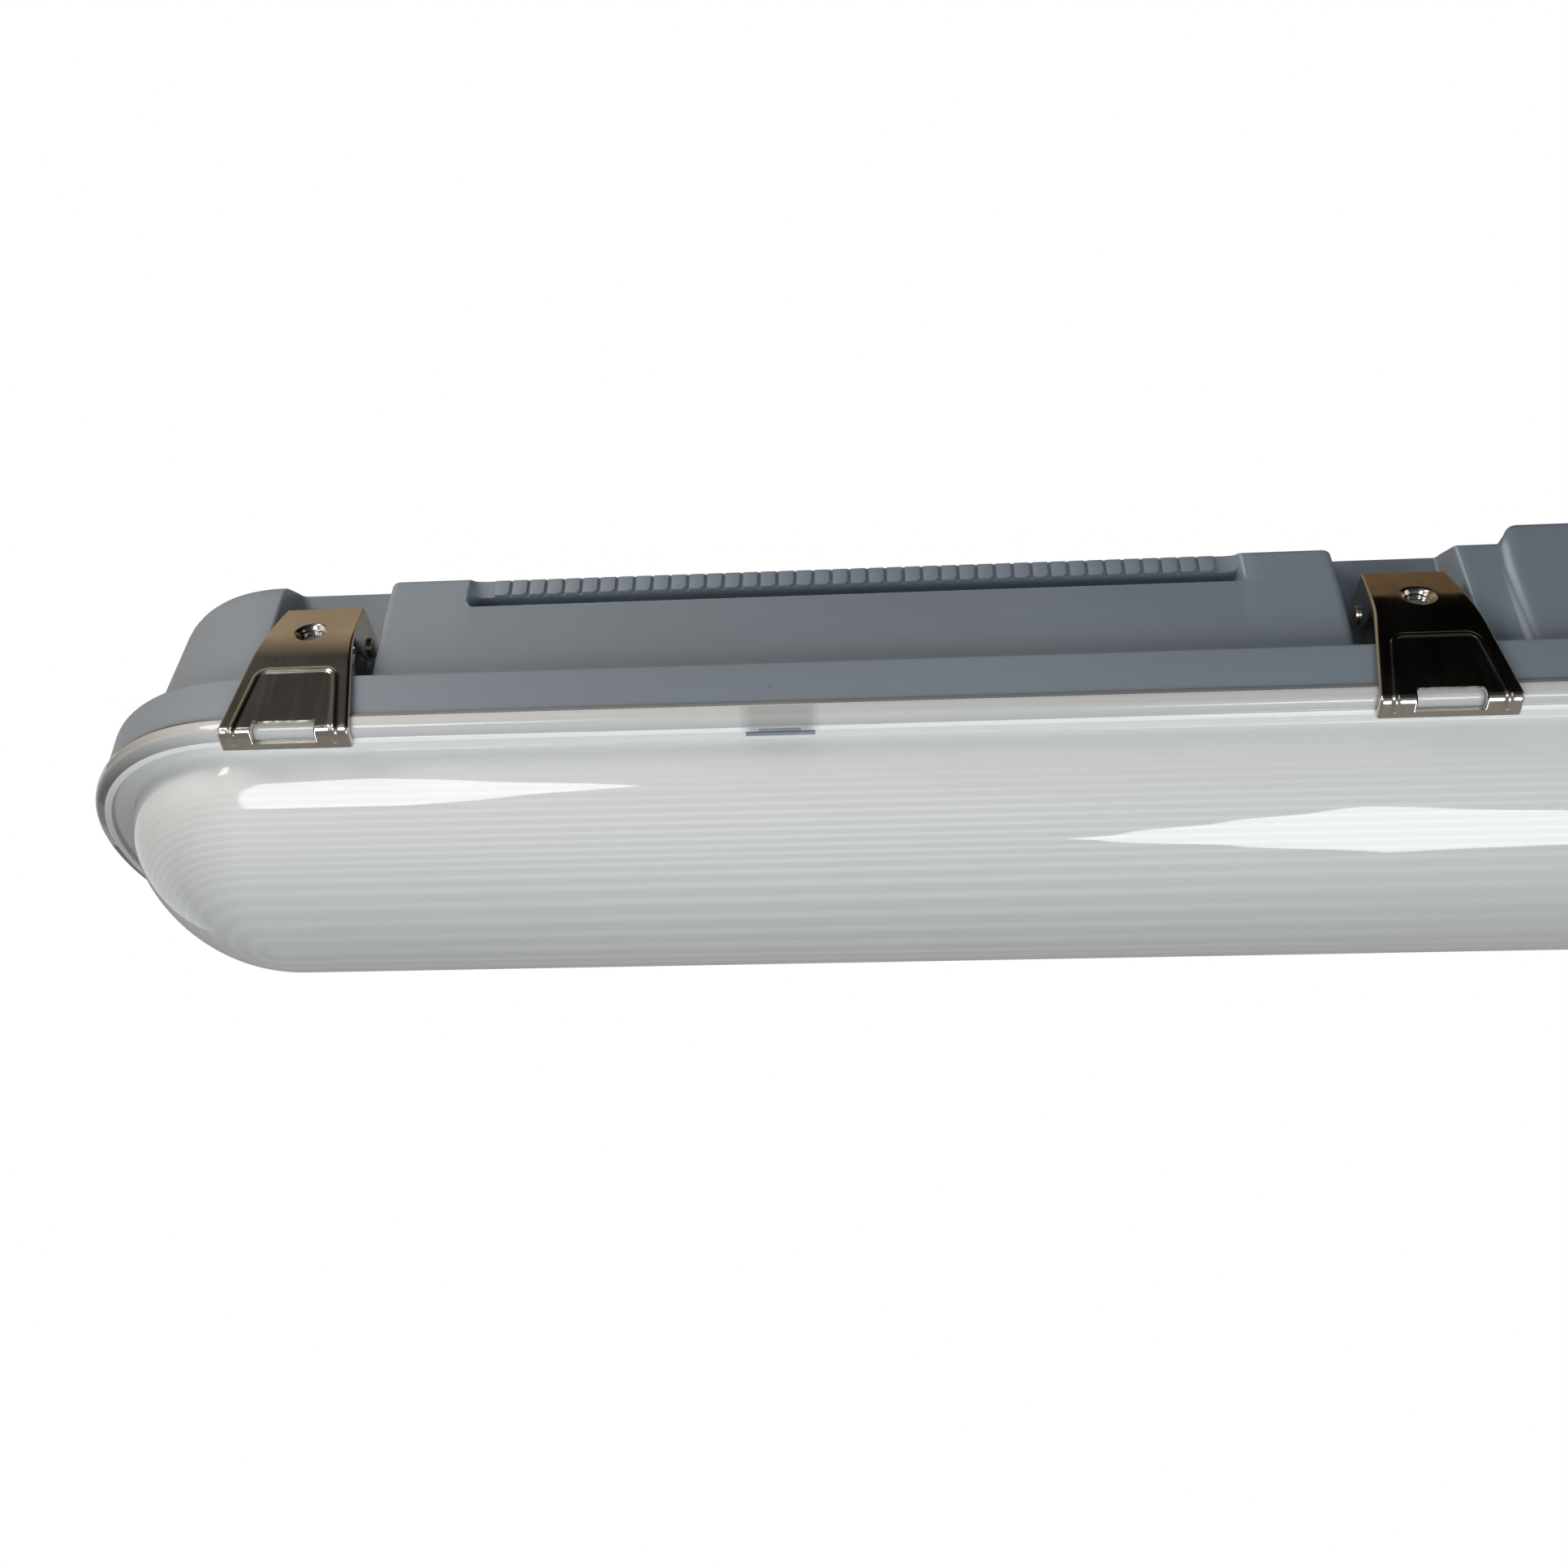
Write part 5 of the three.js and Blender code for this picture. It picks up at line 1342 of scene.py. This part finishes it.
FLOOR_SIZE = 6.0
FLOOR_GLOW = 0.5
FLOOR_TONES = (0.8, 0.8, 0.79, 1), (0.84, 0.84, 0.83, 1)
WINDOW_WHITE = (0.96, 1.0, 1.0)
WINDOW_STRENGTH = 9.0
WINDOW_Y = -1.5
LOW_WINDOW_Z = -1.28
LOW_WINDOW = [(-0.262, -0.32), (0.08, -0.745), (0.682, -0.215), (0.04, -0.055)]
FRONT_WINDOW = [(-1.42, -1.48), (-1.2, -0.44), (-1.05, -0.32), (-0.75, -0.80), (-1.33, -1.55)]
SMALL_WINDOW = [(-1.78, 0.72), (-1.31, 0.72), (-1.36, 0.4), (-1.4, 0.0), (-1.62, 0.0), (-1.5, 0.42),
                (-1.74, 0.5)]
FRONT_Y, BEAM_Y, BACK_Y = -3.0, -0.13, 3.2
GROUND_Z, CEILING_Z = -1.3, 0.9
SIDES = (-3.5, 3.5)
BEAM_LEFT, BEAM_RIGHT = (0.38, 0.295, 0.205), (0.16, 0.105, 0.058)
DARK_LEFT, DARK_RIGHT = (0.055, 0.052, 0.048), (0.002, 0.002, 0.002)
COOL_WHITE = (0.97, 0.99, 1.0)
CAMERA_PLACE = (-0.437735, -0.321072, -0.259191)
CAMERA_YAW = -0.079683
CAMERA_PITCH = 0.587264
CAMERA_ROLL = 0.018418
CAMERA_LENS = 35.935


def lamp(name, location, target, width, height, power, colour):
    """A soft rectangular lamp aimed at a point; its mirror image comes from a card instead."""
    light = bpy.data.lights.new(name, "AREA")
    light.shape, light.size, light.size_y = "RECTANGLE", width, height
    light.energy, light.color = power, colour
    made = bpy.data.objects.new(name, light)
    made.location = location
    made.rotation_euler = (Vector(target) - Vector(location)).to_track_quat("-Z", "Y").to_euler()
    made.visible_glossy = made.visible_camera = False
    bpy.context.scene.collection.objects.link(made)


def card(name, corners, first, second=None, axis="X", ends=(0.0, 1.0), strength=1.0):
    """A flat card that only gloss sees, to shape reflections; its colour may run along an axis."""
    piece = new_object(name, corners, [tuple(range(len(corners)))], recalculate=False)
    made = bpy.data.materials.new(name)
    made.use_nodes = True
    tree = made.node_tree
    tree.nodes.clear()
    colour = (*first, 1)
    if second:
        place_on_card = add_node(tree, "ShaderNodeTexCoord").outputs["Object"]
        along = add_node(tree, "ShaderNodeSeparateXYZ", place_on_card).outputs[axis]
        share = add_node(tree, "ShaderNodeMapRange", along, *ends).outputs[0]
        colour = mixed_colour(tree, share, colour, (*second, 1))
    glow = add_node(tree, "ShaderNodeEmission", colour, strength)
    add_node(tree, "ShaderNodeOutputMaterial", glow.outputs[0])
    piece.data.materials.append(made)
    piece.visible_camera = piece.visible_diffuse = piece.visible_shadow = False
    piece.visible_transmission = piece.visible_volume_scatter = False


def level_card(name, x, y, z, *colours, **more):
    """A level rectangular card."""
    card(name, [(x[0], y[0], z), (x[1], y[0], z), (x[1], y[1], z), (x[0], y[1], z)], *colours, **more)


def upright_card(name, x, y, z, *colours, **more):
    """An upright rectangular card across the view."""
    card(name, [(x[0], y, z[0]), (x[1], y, z[0]), (x[1], y, z[1]), (x[0], y, z[1])], *colours, **more)


def make_cards():
    """Cards for the reflections: window strips, a dark front, a brown beam overhead and a grey back."""
    card("low_window", [(x, y, LOW_WINDOW_Z) for x, y in LOW_WINDOW], WINDOW_WHITE, strength=WINDOW_STRENGTH)
    for name, outline in (("front_window", FRONT_WINDOW), ("small_window", SMALL_WINDOW)):
        card(name, [(x, WINDOW_Y, z) for x, z in outline], WINDOW_WHITE, strength=WINDOW_STRENGTH)
    level_card("dark_ceiling", SIDES, (FRONT_Y, BEAM_Y), CEILING_Z, DARK_LEFT, DARK_RIGHT, ends=(-1.2, -0.5))
    level_card("overhead_beam", SIDES, (BEAM_Y, 0.9), CEILING_Z, BEAM_LEFT, BEAM_RIGHT, ends=(-1.0, -0.1))
    level_card("beam_shade", (SIDES[0], -0.5), (-0.8, BEAM_Y), CEILING_Z - 0.005, DARK_LEFT, BEAM_LEFT,
               axis="Y", ends=(-0.85, -0.2))
    upright_card("front_wall", SIDES, FRONT_Y, (GROUND_Z, CEILING_Z), (0.2, 0.19, 0.18), (0.03, 0.03, 0.03),
                 ends=(-1.5, -0.3))
    level_card("front_ground", SIDES, (FRONT_Y, 0.35), GROUND_Z, (0.2, 0.2, 0.2))
    level_card("back_ground", SIDES, (0.35, BACK_Y), GROUND_Z, (0.27, 0.25, 0.23))
    upright_card("back_wall", SIDES, BACK_Y, (GROUND_Z, 2.3), (0.33, 0.28, 0.25))
    upright_card("high_back_wall", SIDES, BACK_Y, (2.3, 5.5), (0.05, 0.048, 0.045))


def background_seen(tree):
    """1 where a camera, glossy or transmitted ray looks, and 0 where a surface only gives light."""
    rays = add_node(tree, "ShaderNodeLightPath").outputs
    looked = calculated(tree, "MAXIMUM", rays["Is Camera Ray"], rays["Is Glossy Ray"])
    return calculated(tree, "MAXIMUM", looked, rays["Is Transmission Ray"])


def make_world(wanted):
    """Soft even light, with a white background behind the fixture and in its reflections."""
    world = bpy.data.worlds.new("studio")
    bpy.context.scene.world = world
    world.use_nodes = True
    tree = world.node_tree
    tree.nodes.clear()
    soft = add_node(tree, "ShaderNodeBackground", Color=(*wanted.ambient_colour, 1),
                    Strength=wanted.ambient_strength)
    white = add_node(tree, "ShaderNodeBackground", Color=(1, 1, 1, 1))
    mixed = add_node(tree, "ShaderNodeMixShader", background_seen(tree), soft.outputs[0], white.outputs[0])
    add_node(tree, "ShaderNodeOutputWorld", mixed.outputs[0])


def make_floor(wanted):
    """A plain pale floor that keeps the fixture's shadow."""
    size, z = FLOOR_SIZE, wanted.floor_height
    corners = [(-size, -size, z), (size, -size, z), (size, size, z), (-size, size, z)]
    piece = new_object("studio_floor", corners, [(0, 1, 2, 3)], recalculate=False)
    made = Finish("studio_floor", Roughness=0.9, Specular_IOR_Level=0.0)
    made.colour(made.mix(made.noise(1.5), *FLOOR_TONES))
    strength = made.times(background_seen(made.tree), FLOOR_GLOW)
    glow = add_node(made.tree, "ShaderNodeEmission", Strength=strength)
    both = add_node(made.tree, "ShaderNodeAddShader", made.shader.outputs[0], glow.outputs[0])
    made.tree.links.new(both.outputs[0], made.tree.nodes["Material Output"].inputs["Surface"])
    piece.data.materials.append(made.material)


def make_camera():
    """The camera at the photograph's place and angle."""
    yaw, pitch, roll = CAMERA_YAW, CAMERA_PITCH, CAMERA_ROLL
    forward = Vector((math.sin(yaw) * math.cos(pitch), math.cos(yaw) * math.cos(pitch), math.sin(pitch)))
    level = Vector((math.cos(yaw), -math.sin(yaw), 0))
    up = level.cross(forward)
    right = math.cos(roll) * level + math.sin(roll) * up
    top = -math.sin(roll) * level + math.cos(roll) * up
    data = bpy.data.cameras.new("photograph_view")
    data.lens, data.sensor_width, data.clip_start = CAMERA_LENS, 36.0, 0.01
    camera = bpy.data.objects.new("photograph_view", data)
    turn = Matrix((right, top, -forward)).transposed().to_4x4()
    camera.matrix_world = Matrix.Translation(CAMERA_PLACE) @ turn
    bpy.context.scene.collection.objects.link(camera)
    bpy.context.scene.camera = camera


def make_stage():
    """The camera, the background, the floor, five soft lamps and the cards for the reflections."""
    wanted = bpy.context.scene.fixture_stage
    make_camera()
    make_world(wanted)
    make_floor(wanted)
    lamp("left_lamp", (-0.75, -0.3, 0.1), (-0.5, 0, -0.04), 0.22, 0.22, wanted.key_power, (1.0, 0.86, 0.72))
    lamp("low_lamp", (-0.33, -0.55, -0.85), (-0.25, 0, -0.06), 0.5, 0.4, wanted.low_power, COOL_WHITE)
    lamp("low_left_lamp", (-0.6, -0.45, -0.85), (-0.6, 0, -0.06), 0.5, 0.4, wanted.low_power / 2.8,
         (1.0, 0.95, 0.88))
    lamp("back_lamp", (0.3, 1.6, 0.9), (0, 0, -0.03), 1.6, 1.0, wanted.back_power, (0.96, 0.98, 1.0))
    lamp("right_lamp", (1.7, 0.5, 0.1), (0.5, 0, -0.04), 0.8, 0.8, wanted.back_power / 5, COOL_WHITE)
    make_cards()
    bpy.context.scene.view_settings.view_transform = "Standard"


# Settings, operators and panel


class FixtureSettings(bpy.types.PropertyGroup):
    """Sizes and colours of the fixture's pieces."""

    housing_colour: bpy.props.FloatVectorProperty(
        name="Housing colour", description="Base colour of the moulded housing", subtype="COLOR",
        default=(0.208, 0.244, 0.288), min=0, max=1)
    diffuser_colour: bpy.props.FloatVectorProperty(
        name="Diffuser colour", description="Base colour of the milky diffuser", subtype="COLOR",
        default=(0.665, 0.675, 0.675), min=0, max=1)
    steel_colour: bpy.props.FloatVectorProperty(
        name="Steel colour", description="Reflection colour of the stainless latches", subtype="COLOR",
        default=(0.72, 0.68, 0.61), min=0, max=1)
    dome_half_width: bpy.props.FloatProperty(
        name="Dome half width", description="From the middle to the dome's side at the rim", unit="LENGTH",
        default=0.04)
    dome_wall: bpy.props.FloatProperty(
        name="Dome wall", description="Thickness of the diffuser's wall", unit="LENGTH", default=0.0022)
    dome_power: bpy.props.FloatProperty(
        name="Dome roundness", description="Power of the dome's section; 2 is an ellipse", default=1.76)
    rib_pitch: bpy.props.FloatProperty(
        name="Rib pitch", description="Spacing of the ribs on the dome's sides", unit="LENGTH",
        default=0.0019)
    broad_rib_pitch: bpy.props.FloatProperty(
        name="Broad rib pitch", description="Spacing of the ribs under the dome", unit="LENGTH",
        default=0.0052)
    rib_depth: bpy.props.FloatProperty(
        name="Rib depth", description="Height of a rib on the dome's inside", unit="LENGTH", default=0.0003)
    tooth_count: bpy.props.IntProperty(
        name="Teeth", description="Number of teeth over each bracket groove", default=40, min=1)
    tooth_notch: bpy.props.FloatProperty(
        name="Tooth notch", description="Width of the notch between two teeth", unit="LENGTH", default=0.0008)
    teeth_margin: bpy.props.FloatProperty(
        name="Teeth margin", description="From the end of the groove to the first tooth", unit="LENGTH",
        default=0.0049)
    sheet_thickness: bpy.props.FloatProperty(
        name="Sheet thickness", description="Thickness of the latch sheet", unit="LENGTH", default=0.0008)
    gland_rib_count: bpy.props.IntProperty(
        name="Grip ribs", description="Number of grip ribs round the gland's nut", default=24, min=3)


class FixtureStage(bpy.types.PropertyGroup):
    """Light and floor of the plain studio."""

    ambient_colour: bpy.props.FloatVectorProperty(
        name="Ambient colour", description="Colour of the even light", subtype="COLOR",
        default=(0.82, 0.92, 1.0), min=0, max=1)
    ambient_strength: bpy.props.FloatProperty(
        name="Ambient strength", description="Strength of the even light", default=0.24, min=0)
    key_power: bpy.props.FloatProperty(
        name="Left power", description="Power of the soft lamp on the left", default=1.0, min=0)
    low_power: bpy.props.FloatProperty(
        name="Low power", description="Power of the soft lamp below", default=3.9, min=0)
    back_power: bpy.props.FloatProperty(
        name="Back power", description="Power of the soft lamp behind and above", default=42.0, min=0)
    floor_height: bpy.props.FloatProperty(
        name="Floor height", description="Height of the floor under the fixture", unit="LENGTH", default=-1.5)


class FIXTURE_OT_housing(bpy.types.Operator):
    """Make the moulded housing"""
    bl_idname = "fixture.housing"
    bl_label = "Housing"

    def execute(self, context):
        make_housing()
        return {"FINISHED"}


class FIXTURE_OT_rack_teeth(bpy.types.Operator):
    """Make the teeth over the bracket grooves"""
    bl_idname = "fixture.rack_teeth"
    bl_label = "Rack teeth"

    def execute(self, context):
        make_rack_teeth()
        return {"FINISHED"}


class FIXTURE_OT_diffuser(bpy.types.Operator):
    """Make the ribbed milky diffuser"""
    bl_idname = "fixture.diffuser"
    bl_label = "Diffuser"

    def execute(self, context):
        make_diffuser()
        make_catches()
        return {"FINISHED"}


class FIXTURE_OT_latches(bpy.types.Operator):
    """Make the latch clips, rivets and links"""
    bl_idname = "fixture.latches"
    bl_label = "Latches"

    def execute(self, context):
        make_latches()
        return {"FINISHED"}


class FIXTURE_OT_inside(bpy.types.Operator):
    """Finish the gasket, tray, light boards, driver, wiring and screws"""
    bl_idname = "fixture.inside"
    bl_label = "Inside"

    def execute(self, context):
        paint_inside()
        return {"FINISHED"}


class FIXTURE_OT_gland(bpy.types.Operator):
    """Make the cable gland"""
    bl_idname = "fixture.gland"
    bl_label = "Cable gland"

    def execute(self, context):
        make_gland()
        return {"FINISHED"}


class FIXTURE_OT_stage(bpy.types.Operator):
    """Make the camera, floor, cards and lights"""
    bl_idname = "fixture.stage"
    bl_label = "Stage"

    def execute(self, context):
        make_stage()
        return {"FINISHED"}


class FIXTURE_PT_panel(bpy.types.Panel):
    """Lists the fixture's settings and operators"""
    bl_idname = "FIXTURE_PT_panel"
    bl_label = "Light Fixture"
    bl_space_type = "VIEW_3D"
    bl_region_type = "UI"
    bl_category = "Fixture"

    def draw(self, context):
        for group in (context.scene.fixture_settings, context.scene.fixture_stage):
            for name in group.__annotations__:
                self.layout.prop(group, name)
        for operator in OPERATORS:
            self.layout.operator(operator.bl_idname)


OPERATORS = (FIXTURE_OT_stage, FIXTURE_OT_housing, FIXTURE_OT_rack_teeth, FIXTURE_OT_diffuser,
             FIXTURE_OT_latches, FIXTURE_OT_inside, FIXTURE_OT_gland)
CLASSES = (FixtureSettings, FixtureStage) + OPERATORS + (FIXTURE_PT_panel,)


def register():
    """Adds the settings, operators and panel to Blender."""
    for item in CLASSES:
        bpy.utils.register_class(item)
    bpy.types.Scene.fixture_settings = bpy.props.PointerProperty(type=FixtureSettings)
    bpy.types.Scene.fixture_stage = bpy.props.PointerProperty(type=FixtureStage)


def unregister():
    """Takes them out again."""
    del bpy.types.Scene.fixture_stage
    del bpy.types.Scene.fixture_settings
    for item in reversed(CLASSES):
        bpy.utils.unregister_class(item)


def main():
    """Makes the stage and every piece."""
    register()
    bpy.ops.fixture.stage()
    bpy.ops.fixture.housing()
    bpy.ops.fixture.rack_teeth()
    bpy.ops.fixture.diffuser()
    bpy.ops.fixture.latches()
    bpy.ops.fixture.inside()
    bpy.ops.fixture.gland()


if __name__ == "__main__":
    main()
